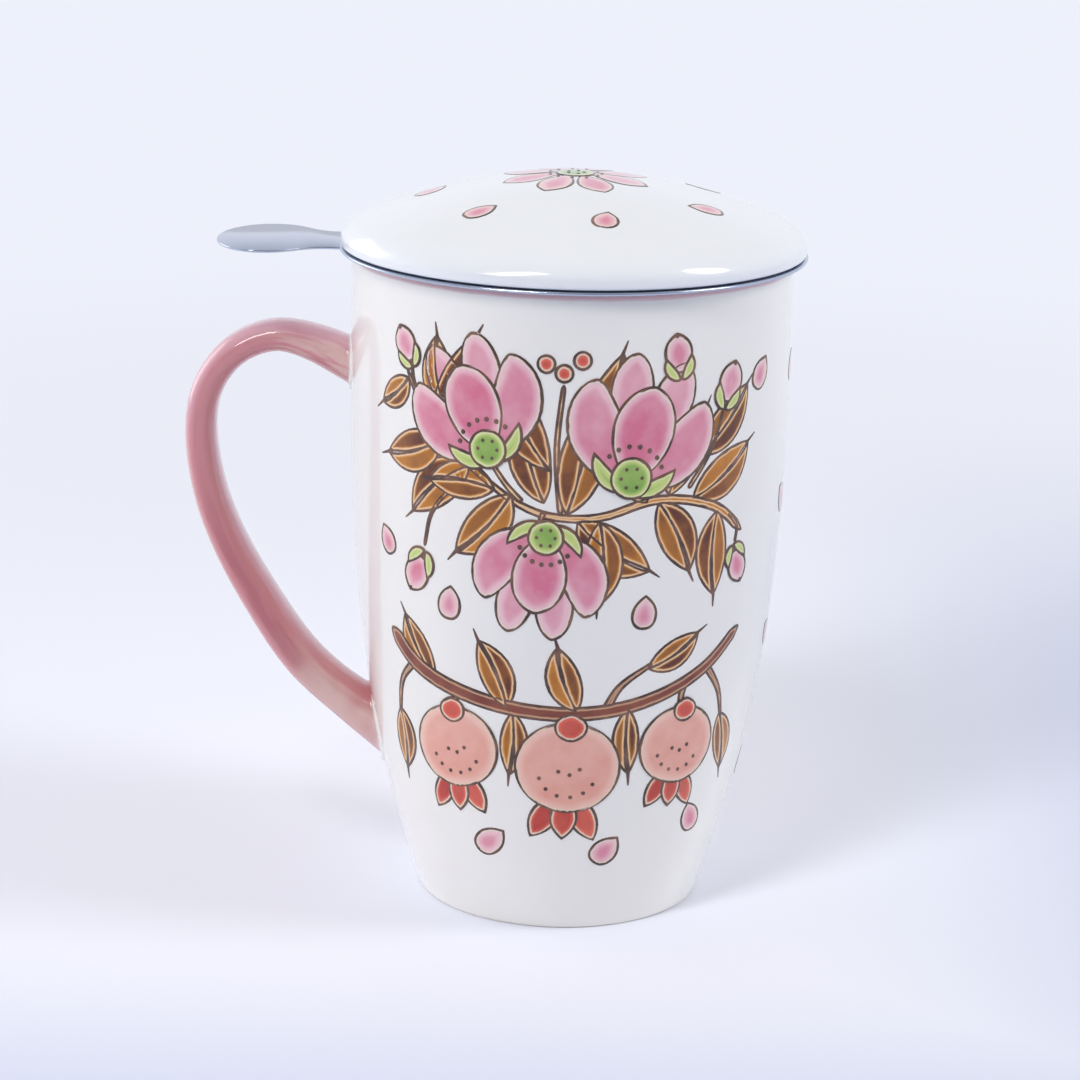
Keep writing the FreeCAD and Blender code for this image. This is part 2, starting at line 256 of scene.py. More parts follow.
def dome_height(radius):
    """Height of the lid's dome above the flange, inside its shoulder."""
    sizes = bpy.context.scene.lid_sizes
    part = radius / (sizes.radius - sizes.shoulder_width)
    return sizes.shoulder_height + (sizes.height - sizes.shoulder_height) * (1.0 - part ** sizes.dome_power)


def smooth_step(low, high, value):
    """0 below low, 1 above high, and a smooth rise between them."""
    t = min(1.0, max(0.0, (value - low) / (high - low)))
    return t * t * (3.0 - 2.0 * t)


def arc(centre, radius, start, end, steps=6):
    """Points of an arc about a centre, from one angle to another in degrees."""
    turns = [math.radians(start + (end - start) * k / steps) for k in range(steps + 1)]
    return [(centre[0] + radius * math.cos(t), centre[1] + radius * math.sin(t)) for t in turns]


def finish_piece(name, bm, materials, body, sharp=40.0):
    """A shaded object from a bmesh, riding on its body."""
    mesh = bpy.data.meshes.new(name)
    bm.to_mesh(mesh)
    bm.free()
    for material in materials:
        mesh.materials.append(material)
    mesh.shade_smooth()
    mesh.set_sharp_from_angle(angle=math.radians(sharp))
    piece = bpy.data.objects.new(name, mesh)
    bpy.context.scene.collection.objects.link(piece)
    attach(piece, body)
    return piece


def spin_outline(outline, closed=False):
    """A surface that an outline of (radius, height) points sweeps about the Z axis."""
    steps = bpy.context.scene.mug_detail.turns
    bm = bmesh.new()
    verts = [bm.verts.new((radius, 0.0, height)) for radius, height in outline]
    pairs = list(zip(verts, verts[1:]))
    if closed:
        pairs.append((verts[-1], verts[0]))
    edges = [bm.edges.new(pair) for pair in pairs]
    bmesh.ops.spin(
        bm, geom=verts + edges, axis=(0, 0, 1), cent=(0, 0, 0), angle=math.tau, steps=steps, use_merge=True)
    bmesh.ops.remove_doubles(bm, verts=bm.verts, dist=MERGE)
    bmesh.ops.recalc_face_normals(bm, faces=bm.faces)
    return bm


def add(tree, kind, inputs=None, **settings):
    """Adds a node with its settings; an input given a socket is linked to it."""
    node = tree.nodes.new(kind)
    for name, value in settings.items():
        setattr(node, name, value)
    for name, value in (inputs or {}).items():
        if isinstance(value, bpy.types.NodeSocket):
            tree.links.new(value, node.inputs[name])
        else:
            node.inputs[name].default_value = value
    return node


def rgba(colour):
    """A colour property with full opacity."""
    return (*colour, 1.0)


def new_material(name):
    """An empty node material and its tree with the output node."""
    material = bpy.data.materials.new(name)
    material.use_nodes = True
    material.node_tree.nodes.clear()
    return material, material.node_tree


def glaze_shader(tree, colour, normal):
    """Clear gloss glaze over a colour, joined to the material's output."""
    shader = add(tree, "ShaderNodeBsdfPrincipled", {
        "Base Color": colour, "Roughness": 0.25, "IOR": 1.5, "Specular IOR Level": 0.15, "Normal": normal,
        "Coat Weight": 1.0, "Coat Roughness": 0.02, "Coat IOR": 1.5, "Coat Normal": normal})
    add(tree, "ShaderNodeOutputMaterial", {"Surface": shader.outputs[0]})


def glaze_waviness(tree, place, spacing=9.0 * MM, depth=0.012 * MM):
    """Slow waves that molten glaze leaves, as a normal."""
    waves = add(tree, "ShaderNodeTexNoise", {"Vector": place, "Scale": 1.0 / spacing, "Detail": 1.5})
    return add(tree, "ShaderNodeBump", {"Height": waves.outputs["Fac"], "Distance": depth}).outputs[0]


def clouded_white(tree, place, white, shade):
    """White with faint clouds about 26 mm apart, where the glaze lies thicker."""
    clouds = add(tree, "ShaderNodeTexNoise", {"Vector": place, "Scale": 1.0 / (26.3 * MM), "Detail": 2.0})
    return add(tree, "ShaderNodeMix", {
        0: clouds.outputs["Fac"], 6: rgba(white), 7: rgba(shade)}, data_type="RGBA").outputs[2]


def white_porcelain():
    """Glazed porcelain, slip cast: white, hard gloss, faint waves, a pink brushed lip."""
    colours = bpy.context.scene.mug_colours
    sizes = bpy.context.scene.mug_sizes
    material, tree = new_material("glazed_white_porcelain")
    place = add(tree, "ShaderNodeTexCoord").outputs["Object"]
    white = clouded_white(tree, place, colours.porcelain, colours.porcelain_shade)

    # The lip's band is brushed on a turning wheel, so its soft lower edge wanders a little
    band_depth, band_softness, band_wander = 1.3 * MM, 0.45 * MM, 0.5 * MM
    height = add(tree, "ShaderNodeSeparateXYZ", {0: place}).outputs["Z"]
    wander = add(tree, "ShaderNodeTexNoise", {"Vector": place, "Scale": 1.0 / (11.1 * MM), "Detail": 2.0})
    shifted = add(tree, "ShaderNodeMath", {
        0: wander.outputs["Fac"], 1: band_wander, 2: height}, operation="MULTIPLY_ADD").outputs[0]
    band_bottom = sizes.height - band_depth
    band = add(tree, "ShaderNodeMapRange", {
        "Value": shifted, "From Min": band_bottom, "From Max": band_bottom + band_softness}).outputs[0]
    painted = add(tree, "ShaderNodeMix", {0: band, 6: white, 7: rgba(colours.lip_pink)}, data_type="RGBA")
    glaze_shader(tree, painted.outputs[2], glaze_waviness(tree, place))
    return material


def lid_porcelain():
    """The same glazed porcelain in a cooler white that paints the bluish light from above, without the
    painted lip.
    """
    colours = bpy.context.scene.mug_colours
    material, tree = new_material("glazed_lid_porcelain")
    place = add(tree, "ShaderNodeTexCoord").outputs["Object"]
    white = clouded_white(tree, place, colours.lid_white_painted_cool_light, colours.lid_clouds_painted_cool_light)
    glaze_shader(tree, white, glaze_waviness(tree, place, 14.0 * MM, 0.010 * MM))
    return material


def bare_biscuit():
    """Unglazed fired porcelain, wiped clean: matt, slightly warm, with four fine grains to a millimetre."""
    colours = bpy.context.scene.mug_colours
    material, tree = new_material("unglazed_foot_ring")
    place = add(tree, "ShaderNodeTexCoord").outputs["Object"]
    grain = add(tree, "ShaderNodeTexNoise", {"Vector": place, "Scale": 4.0 / MM, "Detail": 2.0})
    bump = add(tree, "ShaderNodeBump", {"Height": grain.outputs["Fac"], "Distance": 0.02 * MM})
    tint = add(tree, "ShaderNodeMix", {
        0: grain.outputs["Fac"], 6: rgba(colours.biscuit), 7: rgba(colours.porcelain)}, data_type="RGBA")
    shader = add(tree, "ShaderNodeBsdfPrincipled", {
        "Base Color": tint.outputs[2], "Roughness": 0.75, "Normal": bump.outputs[0]})
    add(tree, "ShaderNodeOutputMaterial", {"Surface": shader.outputs[0]})
    return material


def pink_handle_glaze():
    """Pink underglaze brushed by hand under clear glaze: streaks, bare patches, white at the joints; painted
    reflection, painted shade and painted light.
    """
    colours = bpy.context.scene.mug_colours
    material, tree = new_material("brushed_pink_glaze")
    place = add(tree, "ShaderNodeTexCoord").outputs["Object"]
    along, outer, side, clearance = (
        add(tree, "ShaderNodeAttribute", attribute_name=name).outputs["Fac"] for name in HANDLE_VALUES)

    # Brush strokes run along the handle, 1 to 2 mm wide and about 12 mm long. These are how many fit the
    # handle's length, and half its thickness and width.
    stroke_counts = ((along, 11.0), (outer, 2.6), (side, 3.2))
    stroke_place = add(tree, "ShaderNodeCombineXYZ", {
        k: add(tree, "ShaderNodeMath", {0: value, 1: count}, operation="MULTIPLY").outputs[0]
        for k, (value, count) in enumerate(stroke_counts)})
    strokes = add(tree, "ShaderNodeTexNoise", {
        "Vector": stroke_place.outputs[0], "Scale": 1.0, "Detail": 4.0, "Roughness": 0.6}).outputs["Fac"]
    blots = add(tree, "ShaderNodeTexNoise", {
        "Vector": place, "Scale": 1.0 / (14.3 * MM), "Detail": 2.0}).outputs["Fac"]
    wander = add(tree, "ShaderNodeMapRange", {"Value": strokes, "To Min": -0.35, "To Max": 0.35}).outputs[0]
    across = add(tree, "ShaderNodeMath", {0: outer, 1: wander}, operation="ADD").outputs[0]
    from_middle = add(tree, "ShaderNodeMath", {0: across}, operation="ABSOLUTE").outputs[0]
    ragged = add(tree, "ShaderNodeMath", {
        0: blots, 1: -1.2 * MM, 2: clearance}, operation="MULTIPLY_ADD").outputs[0]

    # Each coat over the one before: its colour, its strength, and where it lies as value, start and end
    coats = (
        # Painted light: paler pink along the outer edge
        (colours.handle_pale_lit_edge, 0.7, ((across, 0.35, 0.95),)),
        # Painted reflection: lilac on the top face of the upper arm
        (colours.handle_lilac_reflection, 0.75, ((across, 0.10, 0.60), (along, 0.42, 0.28))),
        (colours.handle_rose, 0.6, ((strokes, 0.50, 0.72),)),
        # Painted shade: darker pink down the middle of the faces, as in a shaded crease
        (colours.handle_crease_shade, 0.75, ((from_middle, 0.45, 0.05), (along, 0.32, 0.60), (along, 0.88, 0.72))),
        (colours.handle_rose, 0.6, ((across, -0.15, -0.50),)),
        # Painted reflection: lilac on the inner side of the bow
        (colours.handle_lilac_reflection, 0.6, ((across, -0.55, -0.95), (along, 0.12, 0.25), (along, 0.82, 0.68))),
        (colours.handle_tan, 0.75, ((along, 0.22, 0.06), (strokes, 0.56, 0.42), (from_middle, 0.9, 0.5))),
        (colours.handle_tan, 0.8, (
            (along, 0.68, 0.84), (blots, 0.38, 0.58), (across, -0.9, -0.4), (across, 0.85, 0.4))),
        # Painted shade: darker pink on the inner side beside the lower joint
        (colours.handle_crease_shade, 0.55, ((along, 0.84, 0.91), (along, 0.99, 0.95), (across, -0.15, -0.55))),
        (colours.porcelain, 0.6, ((along, 0.90, 0.97), (across, 0.85, 0.40), (from_middle, 0.95, 0.70))),
        (colours.porcelain, 1.0, ((ragged, -0.1 * MM, -0.5 * MM),)),
    )
    colour = rgba(colours.handle_pink)
    for coat, amount, places in coats:
        for value, start, end in places:
            here = add(tree, "ShaderNodeMapRange", {
                "Value": value, "From Min": start, "From Max": end},
                interpolation_type="SMOOTHSTEP").outputs[0]
            amount = add(tree, "ShaderNodeMath", {0: amount, 1: here}, operation="MULTIPLY").outputs[0]
        colour = add(tree, "ShaderNodeMix", {
            0: amount, 6: colour, 7: rgba(coat)}, data_type="RGBA").outputs[2]
    glaze_shader(tree, colour, glaze_waviness(tree, place, 6.0 * MM, 0.03 * MM))
    return material


def brushed_steel(name, colour, roughness, grain, stamping):
    """Stainless steel, stamped and satin finished: pale, fine grain lines, soft reflections.

    The grain is in lines per metre, each 25 times as long as it is wide, and stamping left waves 9 mm apart.
    """
    material, tree = new_material(name)
    place = add(tree, "ShaderNodeTexCoord").outputs["Object"]
    lines = add(tree, "ShaderNodeMapping", {"Vector": place, "Scale": (grain / 25.0, grain, grain)})
    scratches = add(tree, "ShaderNodeTexNoise", {"Vector": lines.outputs[0], "Scale": 1.0, "Detail": 3.0})
    rough = add(tree, "ShaderNodeMapRange", {
        "Value": scratches.outputs["Fac"], "To Min": roughness * 0.75, "To Max": roughness * 1.3})
    waves = add(tree, "ShaderNodeTexNoise", {"Vector": place, "Scale": 1.0 / (9.1 * MM), "Detail": 1.0})
    stamped = add(tree, "ShaderNodeBump", {"Height": waves.outputs["Fac"], "Distance": stamping})
    brushed = add(tree, "ShaderNodeBump", {
        "Height": scratches.outputs["Fac"], "Distance": 0.004 * MM, "Normal": stamped.outputs[0]})
    shader = add(tree, "ShaderNodeBsdfPrincipled", {
        "Base Color": rgba(colour), "Metallic": 1.0, "Roughness": rough.outputs[0],
        "Normal": brushed.outputs[0]})
    add(tree, "ShaderNodeOutputMaterial", {"Surface": shader.outputs[0]})
    return material


def painted_glaze(name, colour, margin):
    """Coloured glaze in a raised brown line: a pale edge next to the line, and pools further in."""
    colours = bpy.context.scene.mug_colours
    pooled, thin, edge = (rgba(getattr(colours, colour + part)) for part in ("", "_pale", "_edge"))
    material, tree = new_material(name)
    place = add(tree, "ShaderNodeTexCoord").outputs["Object"]
    depth, tone, along = (
        add(tree, "ShaderNodeAttribute", attribute_name=key).outputs["Fac"] for key in PAINT_VALUES)

    # The hand-drawn line is 0.4 to 0.65 mm wide, and the pale edge about 0.3 mm
    swing = 0.24 * MM
    tremble = add(tree, "ShaderNodeTexNoise", {"Vector": place, "Scale": 1.0 / (2.38 * MM), "Detail": 2.0})
    shift = add(tree, "ShaderNodeMapRange", {
        "Value": tremble.outputs["Fac"], "To Min": -swing, "To Max": swing})
    wavy = add(tree, "ShaderNodeMath", {0: depth, 1: shift.outputs[0]}, operation="ADD").outputs[0]
    past_line, past_edge = (
        add(tree, "ShaderNodeMapRange", {
            "Value": wavy, "From Min": start * MM, "From Max": end * MM}).outputs[0]
        for start, end in ((0.48, 0.60), (0.76, 0.94)))

    # The glaze is thin beside the line and pools within the margin
    line_width = 0.7 * MM
    pools = add(tree, "ShaderNodeTexNoise", {
        "Vector": place, "Scale": 1.0 / (4.35 * MM), "Detail": 3.0}).outputs["Fac"]
    shallow = add(tree, "ShaderNodeMapRange", {
        "Value": depth, "From Min": line_width, "From Max": line_width + margin,
        "To Min": 0.75, "To Max": 0.0}, interpolation_type="SMOOTHSTEP").outputs[0]
    amount = tone
    for share_of, value in ((0.9, pools), (1.0, along), (1.0, shallow)):
        amount = add(tree, "ShaderNodeMath", {
            0: value, 1: share_of, 2: amount}, operation="MULTIPLY_ADD").outputs[0]
    thinness, line_tone = (
        add(tree, "ShaderNodeMapRange", {"Value": value, "From Min": low, "From Max": high}).outputs[0]
        for value, low, high in ((amount, 0.5, 1.5), (pools, 0.4, 0.75)))
    fill = add(tree, "ShaderNodeMix", {0: thinness, 6: pooled, 7: thin}, data_type="RGBA").outputs[2]
    line = add(tree, "ShaderNodeMix", {
        0: line_tone, 6: rgba(colours.outline), 7: rgba(colours.outline_warm)}, data_type="RGBA").outputs[2]
    edged = add(tree, "ShaderNodeMix", {0: past_line, 6: line, 7: edge}, data_type="RGBA").outputs[2]
    colour = add(tree, "ShaderNodeMix", {0: past_edge, 6: edged, 7: fill}, data_type="RGBA").outputs[2]
    glaze_shader(tree, colour, glaze_waviness(tree, place, 3.0 * MM, 0.01 * MM))
    return material


def mug_outline():
    """Outline of the mug's section, from under its foot over the lip to the inner floor."""
    sizes = bpy.context.scene.mug_sizes
    recess = sizes.foot_radius - sizes.foot_ring
    foot = sizes.foot_round
    ring_edge = mug_radius(foot) - foot
    points = [(0.0, sizes.foot_recess), (recess * 0.6, sizes.foot_recess)]
    points += arc((recess - 2.2 * foot, sizes.foot_recess - foot), foot, 90, 10)
    points += arc((recess + foot, foot), foot, 180, 270)
    points += arc((ring_edge, foot), foot, 270, 355)
    wall_steps = 44
    wall_top = sizes.height - sizes.lip_round
    for k in range(1, wall_steps + 1):
        height = foot + (wall_top - foot) * k / wall_steps
        points.append((mug_radius(height), height))
    inner_radius = sizes.mouth_radius - sizes.wall
    points += arc((sizes.mouth_radius - sizes.lip_round, wall_top), sizes.lip_round, 12, 90, 7)
    points += arc((inner_radius + sizes.lip_round, wall_top), sizes.lip_round, 90, 180, 8)

    # The inner corner's arc starts where it touches the wall, which leans out this much per unit of height
    wall_lean = 0.27
    lean = math.degrees(math.atan(wall_lean))
    touch = sizes.cavity_floor + sizes.floor_corner * (1.0 - math.sin(math.radians(lean)))
    corner_x = mug_radius(touch) - sizes.wall - sizes.floor_corner * math.cos(math.radians(lean))
    for k in range(1, wall_steps):
        height = wall_top + (touch - wall_top) * k / wall_steps
        points.append((mug_radius(height) - sizes.wall, height))
    corner = (corner_x, sizes.cavity_floor + sizes.floor_corner)
    points += arc(corner, sizes.floor_corner, -lean, -90, 10)
    points += [(corner_x * 0.5, sizes.cavity_floor), (0.0, sizes.cavity_floor)]
    return points


def handle_spine():
    """Centre line of the handle, from inside the wall at the top to the bottom."""
    sizes = bpy.context.scene.mug_sizes
    # How far out of the mouth as a share of the reach, and how high between the joints
    line = ((0.240, 1.041), (0.510, 1.059), (0.781, 1.011), (0.958, 0.905),
            (0.986, 0.765), (0.882, 0.581), (0.622, 0.375), (0.240, 0.166))
    top, bottom = sizes.handle_top, sizes.handle_bottom
    low = bottom - sizes.end_root / 2.0
    knots = [Vector((sizes.top_root - mug_radius(top), 0, top - sizes.top_root / 2.0))]
    for out, up in line:
        x = -(sizes.mouth_radius + sizes.handle_reach * out)
        knots.append(Vector((x, 0, bottom + (top - bottom) * up)))
    knots.append(Vector((sizes.end_root - mug_radius(low), 0, low)))
    return smooth_line(knots, 24)


def smooth_line(knots, steps):
    """Points of a smooth line through knots."""
    last = len(knots) - 1
    slopes = []
    for k, knot in enumerate(knots):
        before = knots[max(0, k - 1)]
        after = knots[min(last, k + 1)]
        slopes.append((after - before) / ((after - knot).length + (knot - before).length))
    points = []
    for k in range(last):
        a, b = knots[k], knots[k + 1]
        reach = (b - a).length / 3.0
        points += interpolate_bezier(a, a + slopes[k] * reach, b - slopes[k + 1] * reach, b, steps + 1)[:-1]
    return [Vector(p) for p in points] + [knots[-1]]


def line_lengths(points):
    """Distance of each point from the first, along the line."""
    run = [0.0]
    for a, b in zip(points, points[1:]):
        run.append(run[-1] + (b - a).length)
    return run


def at_length(points, run, distance):
    """The place at a distance along a line."""
    for k in range(1, len(run)):
        if run[k] >= distance:
            part = (distance - run[k - 1]) / max(run[k] - run[k - 1], 1e-12)
            return points[k - 1].lerp(points[k], part)
    return points[-1].copy()


def handle_section_size(part):
    """Thickness and width of the handle at a share of its length: stout below, spread at both joints."""
    sizes = bpy.context.scene.mug_sizes
    grown = sizes.stout * smooth_step(*HANDLE_STOUT, part)
    grown += sizes.top_flare * (1.0 - smooth_step(*HANDLE_TOP_SPREAD, part))
    grown += sizes.end_flare * smooth_step(*HANDLE_END_SPREAD, part)
    widening = 0.6
    return sizes.handle_thickness + grown, sizes.handle_width + grown * widening


def handle_mesh():
    """Rounded sections bridged along the handle's line, spreading as they meet the wall."""
    sizes = bpy.context.scene.mug_sizes
    spine = handle_spine()
    run = line_lengths(spine)
    total = run[-1]
    # Sections lie close together near both joints, where the slip rounds them, and further apart between
    dense, coarse = 0.35 * MM, 1.8 * MM
    joint = 14.0 * MM
    near = int(joint / dense)
    middle = int((total - 2 * joint) / coarse)
    stations = [joint * k / near for k in range(near)]
    stations += [joint + (total - 2 * joint) * k / middle for k in range(middle + 1)]
    stations += [total - joint + joint * k / near for k in range(1, near + 1)]

    bm = bmesh.new()
    layers = [bm.verts.layers.float.new(name) for name in HANDLE_VALUES]
    rings = []
    probe = 0.2 * MM
    deepest = 1.6 * MM
    section_power = 2.0 / 2.5
    section_points = 48
    for station in stations:
        centre = at_length(spine, run, station)
        ahead = at_length(spine, run, min(total, station + probe))
        behind = at_length(spine, run, max(0.0, station - probe))
        across = Vector((0, 1, 0))
        outward = across.cross((ahead - behind).normalized())
        thickness, width = handle_section_size(station / total)
        ring = bmesh.ops.create_circle(bm, cap_ends=False, radius=1.0, segments=section_points)["verts"]
        for vert in ring:
            c, s = vert.co.x, vert.co.y
            a = math.copysign(abs(c) ** section_power, c) * thickness / 2.0
            b = math.copysign(abs(s) ** section_power, s) * width / 2.0
            place = centre + outward * a + across * b
            clearance = math.hypot(place.x, place.y) - mug_radius(place.z)
            rise = sizes.slip_fillet - min(sizes.slip_fillet, max(0.0, clearance))
            spread = sizes.slip_fillet - math.sqrt(max(0.0, sizes.slip_fillet ** 2 - rise ** 2))
            place += (place - centre).normalized() * spread
            # What lies deeper than the middle of the wall is drawn back to it
            inside = mug_radius(place.z) - deepest - place.to_2d().length
            if inside > 0:
                place.xy = place.xy.normalized() * (mug_radius(place.z) - deepest)
            vert.co = place
            for layer, value in zip(layers, (station / total, c, s, clearance)):
                vert[layer] = value
        rings.append(ring)
    for first, second in zip(rings, rings[1:]):
        pair = set(first) | set(second)
        edges = {e for vert in first + second for e in vert.link_edges if set(e.verts) <= pair}
        loops = [e for e in edges if len(set(e.verts) & set(first)) != 1]
        bmesh.ops.bridge_loops(bm, edges=sorted(loops, key=lambda e: e.index))
    bmesh.ops.holes_fill(bm, edges=[e for e in bm.edges if e.is_boundary], sides=0)
    bmesh.ops.remove_doubles(bm, verts=bm.verts, dist=MERGE)
    bmesh.ops.recalc_face_normals(bm, faces=bm.faces)
    return bm


def rim_outline():
    """Closed section of the rim: collar, bend, flange and folded hem."""
    sizes = bpy.context.scene.infuser_sizes
    top = sizes.flange_top
    under = top - sizes.sheet
    weld_gap = 0.05 * MM
    inner = sizes.basket_radius + weld_gap
    outer = inner + sizes.sheet
    bend = (outer + sizes.bend, under - sizes.bend)
    half_hem = sizes.hem / 2.0
    points = [(inner, top - sizes.collar_depth)]
    points += arc(bend, sizes.bend + sizes.sheet, 180, 90, 8)
    points += arc((sizes.flange_radius - half_hem, top - half_hem), half_hem, 90, -90, 10)
    points += [(sizes.hem_inner, top - sizes.hem), (sizes.hem_inner, under)]
    points += arc(bend, sizes.bend, 90, 180, 8)
    points += [(outer, top - sizes.collar_depth)]
    return points


def tab_outline():
    """Outline of the flat thumb tab, in its own plane, neck first."""
    sizes = bpy.context.scene.infuser_sizes
    inside_hem, straight_neck, steps = 0.5 * MM, 0.8 * MM, 18
    root = sizes.hem_inner + inside_hem
    neck_end = sizes.flange_radius + straight_neck
    tip = sizes.flange_radius + sizes.tab_reach
    widest = tip - sizes.tab_blade
    half = sizes.tab_width / 2.0
    neck = sizes.tab_neck / 2.0
    pull = (widest - neck_end) / 2.0
    side = [Vector((-root, neck))]
    side += interpolate_bezier(
        Vector((-neck_end, neck)), Vector((-neck_end - pull, neck)),
        Vector((-widest + pull, half)), Vector((-widest, half)), steps)
    side += interpolate_bezier(
        Vector((-widest, half)), Vector((-widest - sizes.tab_blade * ROUND_PULL, half)),
        Vector((-tip, half * ROUND_PULL)), Vector((-tip, 0.0)), steps)[1:]
    other = [Vector((p.x, -p.y)) for p in side[:-1]]
    return side + other[::-1]


def add_tab(bm):
    """The thumb tab: a flat plate with softened edges, its root inside the hem."""
    sizes = bpy.context.scene.infuser_sizes
    tuck, softening = 0.02 * MM, 0.12 * MM
    low = sizes.flange_top - sizes.sheet + tuck
    thickness = sizes.sheet - 2.0 * tuck
    verts = [bm.verts.new((p.x, p.y, low)) for p in tab_outline()]
    plate = bm.faces.new(verts)
    grown = bmesh.ops.extrude_face_region(bm, geom=[plate])["geom"]
    top_verts = [g for g in grown if isinstance(g, bmesh.types.BMVert)]
    bmesh.ops.translate(bm, verts=top_verts, vec=(0, 0, thickness))
    everything = verts + top_verts
    members = set(everything)
    faces = [f for f in {f for v in everything for f in v.link_faces} if set(f.verts) <= members]
    bmesh.ops.recalc_face_normals(bm, faces=faces)
    bmesh.ops.rotate(
        bm, verts=everything, cent=(0, 0, 0), matrix=Matrix.Rotation(-sizes.tab_turn, 3, "Z"))
    rims = [e for e in {e for f in faces for e in f.edges} if any(len(f.verts) > 4 for f in e.link_faces)]
    bmesh.ops.bevel(
        bm, geom=rims, offset=softening, offset_type="OFFSET", segments=2, profile=0.5,
        affect="EDGES", material=-1)


def perforated_sheet(columns, rows, pitch, hole_radius):
    """A flat sheet of staggered round holes; the holes' faces are returned, still closed."""
    row_step = pitch * math.sqrt(0.75)
    bm = bmesh.new()
    bmesh.ops.create_grid(bm, x_segments=columns, y_segments=rows, size=0.5)
    for vert in bm.verts:
        row = round((vert.co.y + 0.5) * rows)
        column = round((vert.co.x + 0.5) * columns)
        vert.co = Vector(((column + 0.5 * row) * pitch, row * row_step, 0.0))
    tiles = list(bm.faces)
    bmesh.ops.bisect_edges(bm, edges=bm.edges, cuts=2)
    frame_width = 0.1 * pitch
    bmesh.ops.inset_individual(bm, faces=tiles, thickness=frame_width, use_even_offset=False)
    for tile in tiles:
        middle = tile.calc_center_bounds()
        for vert in tile.verts:
            spoke = (vert.co - middle).normalized()
            vert.co = middle + spoke * hole_radius
    return bm, tiles, row_step


def basket_wall_mesh():
    """The perforated sheet rolled into a tube, with plain bands at both ends."""
    sizes = bpy.context.scene.infuser_sizes
    radius = sizes.basket_radius
    columns = round(math.tau * radius / sizes.hole_pitch)
    pitch = math.tau * radius / columns
    bottom, top = basket_low.z, basket_high.z
    plain_foot, plain_top = 6.6 * MM, 1.5 * MM
    first = bottom + plain_foot
    last = sizes.flange_top - sizes.collar_depth - plain_top
    rows = int((last - first) / (pitch * math.sqrt(0.75)))
    bm, holes, row_step = perforated_sheet(columns, rows, pitch, sizes.hole_radius)
    bmesh.ops.delete(bm, geom=holes, context="FACES_ONLY")
    band_low = [v for v in bm.verts if v.co.y < row_step * 1e-3]
    band_high = [v for v in bm.verts if v.co.y > row_step * (rows - 1e-3)]
    for band, shift in ((band_low, bottom - first), (band_high, top - first - rows * row_step)):
        members = set(band)
        edges = [e for e in bm.edges if set(e.verts) <= members]
        grown = bmesh.ops.extrude_edge_only(bm, edges=edges)["geom"]
        verts = [g for g in grown if isinstance(g, bmesh.types.BMVert)]
        bmesh.ops.translate(bm, verts=verts, vec=(0, shift, 0))
    for vert in bm.verts:
        turn = vert.co.x / radius
        vert.co = Vector((radius * math.cos(turn), radius * math.sin(turn), first + vert.co.y))
    bmesh.ops.remove_doubles(bm, verts=bm.verts, dist=0.01 * MM)
    bmesh.ops.recalc_face_normals(bm, faces=bm.faces)
    return bm


def basket_floor_mesh():
    """A perforated disc with its edge turned up into a short skirt."""
    sizes = bpy.context.scene.infuser_sizes
    radius = cup_high.x
    corner = sizes.cup_corner
    flat = radius - corner
    pitch = sizes.hole_pitch
    # The sheet's rows lean, each half a pitch further over, so it is larger than the disc on both sides
    count = int(2.6 * radius / pitch)
    bm, holes, row_step = perforated_sheet(count, count, pitch, sizes.hole_radius)
    middle = Vector((0.75 * count * pitch, 0.5 * count * row_step, 0.0))
    bmesh.ops.translate(bm, verts=bm.verts, vec=-middle)
    plain_edge = 1.4 * pitch
    reach = flat - plain_edge
    kept = [f for f in holes if f.calc_center_bounds().length < reach]
    kept_set = set(kept)
    near = {v for f in kept for v in f.verts}
    frames = {f for v in near for f in v.link_faces}
    outside = [f for f in bm.faces if f not in frames and f not in kept_set]
    bmesh.ops.delete(bm, geom=outside, context="FACES")
    border = [e for e in bm.edges if e.is_boundary]
    circle = bmesh.ops.create_circle(bm, cap_ends=False, radius=flat, segments=96)["verts"]
    circle_edges = list({e for v in circle for e in v.link_edges})
    bmesh.ops.triangle_fill(bm, edges=border + circle_edges, use_beauty=True, use_dissolve=False)
    bmesh.ops.delete(bm, geom=kept, context="FACES_ONLY")
    edges = circle_edges
    steps = [(flat + corner * math.sin(t), corner * (1.0 - math.cos(t)))
             for t in (math.radians(90.0 * k / 6) for k in range(1, 7))]
    steps.append((radius, cup_high.z - cup_low.z))
    size, level = flat, 0.0
    for next_size, next_level in steps:
        grown = bmesh.ops.extrude_edge_only(bm, edges=edges)["geom"]
        verts = [g for g in grown if isinstance(g, bmesh.types.BMVert)]
        edges = [g for g in grown if isinstance(g, bmesh.types.BMEdge)]
        scale = next_size / size
        bmesh.ops.scale(bm, verts=verts, vec=(scale, scale, 1.0))
        bmesh.ops.translate(bm, verts=verts, vec=(0, 0, next_level - level))
        size, level = next_size, next_level
    bmesh.ops.translate(bm, verts=bm.verts, vec=(0, 0, cup_low.z))
    bmesh.ops.recalc_face_normals(bm, faces=bm.faces)
    lowest = min(bm.faces, key=lambda f: f.calc_center_median().z)
    if lowest.normal.z > 0:
        bmesh.ops.reverse_faces(bm, faces=bm.faces)
    return bm


def give_thickness(piece, thickness):
    """Sheet thickness, grown to the inside."""
    solidify = piece.modifiers.new("sheet", "SOLIDIFY")
    solidify.thickness = thickness
    solidify.offset = -1.0


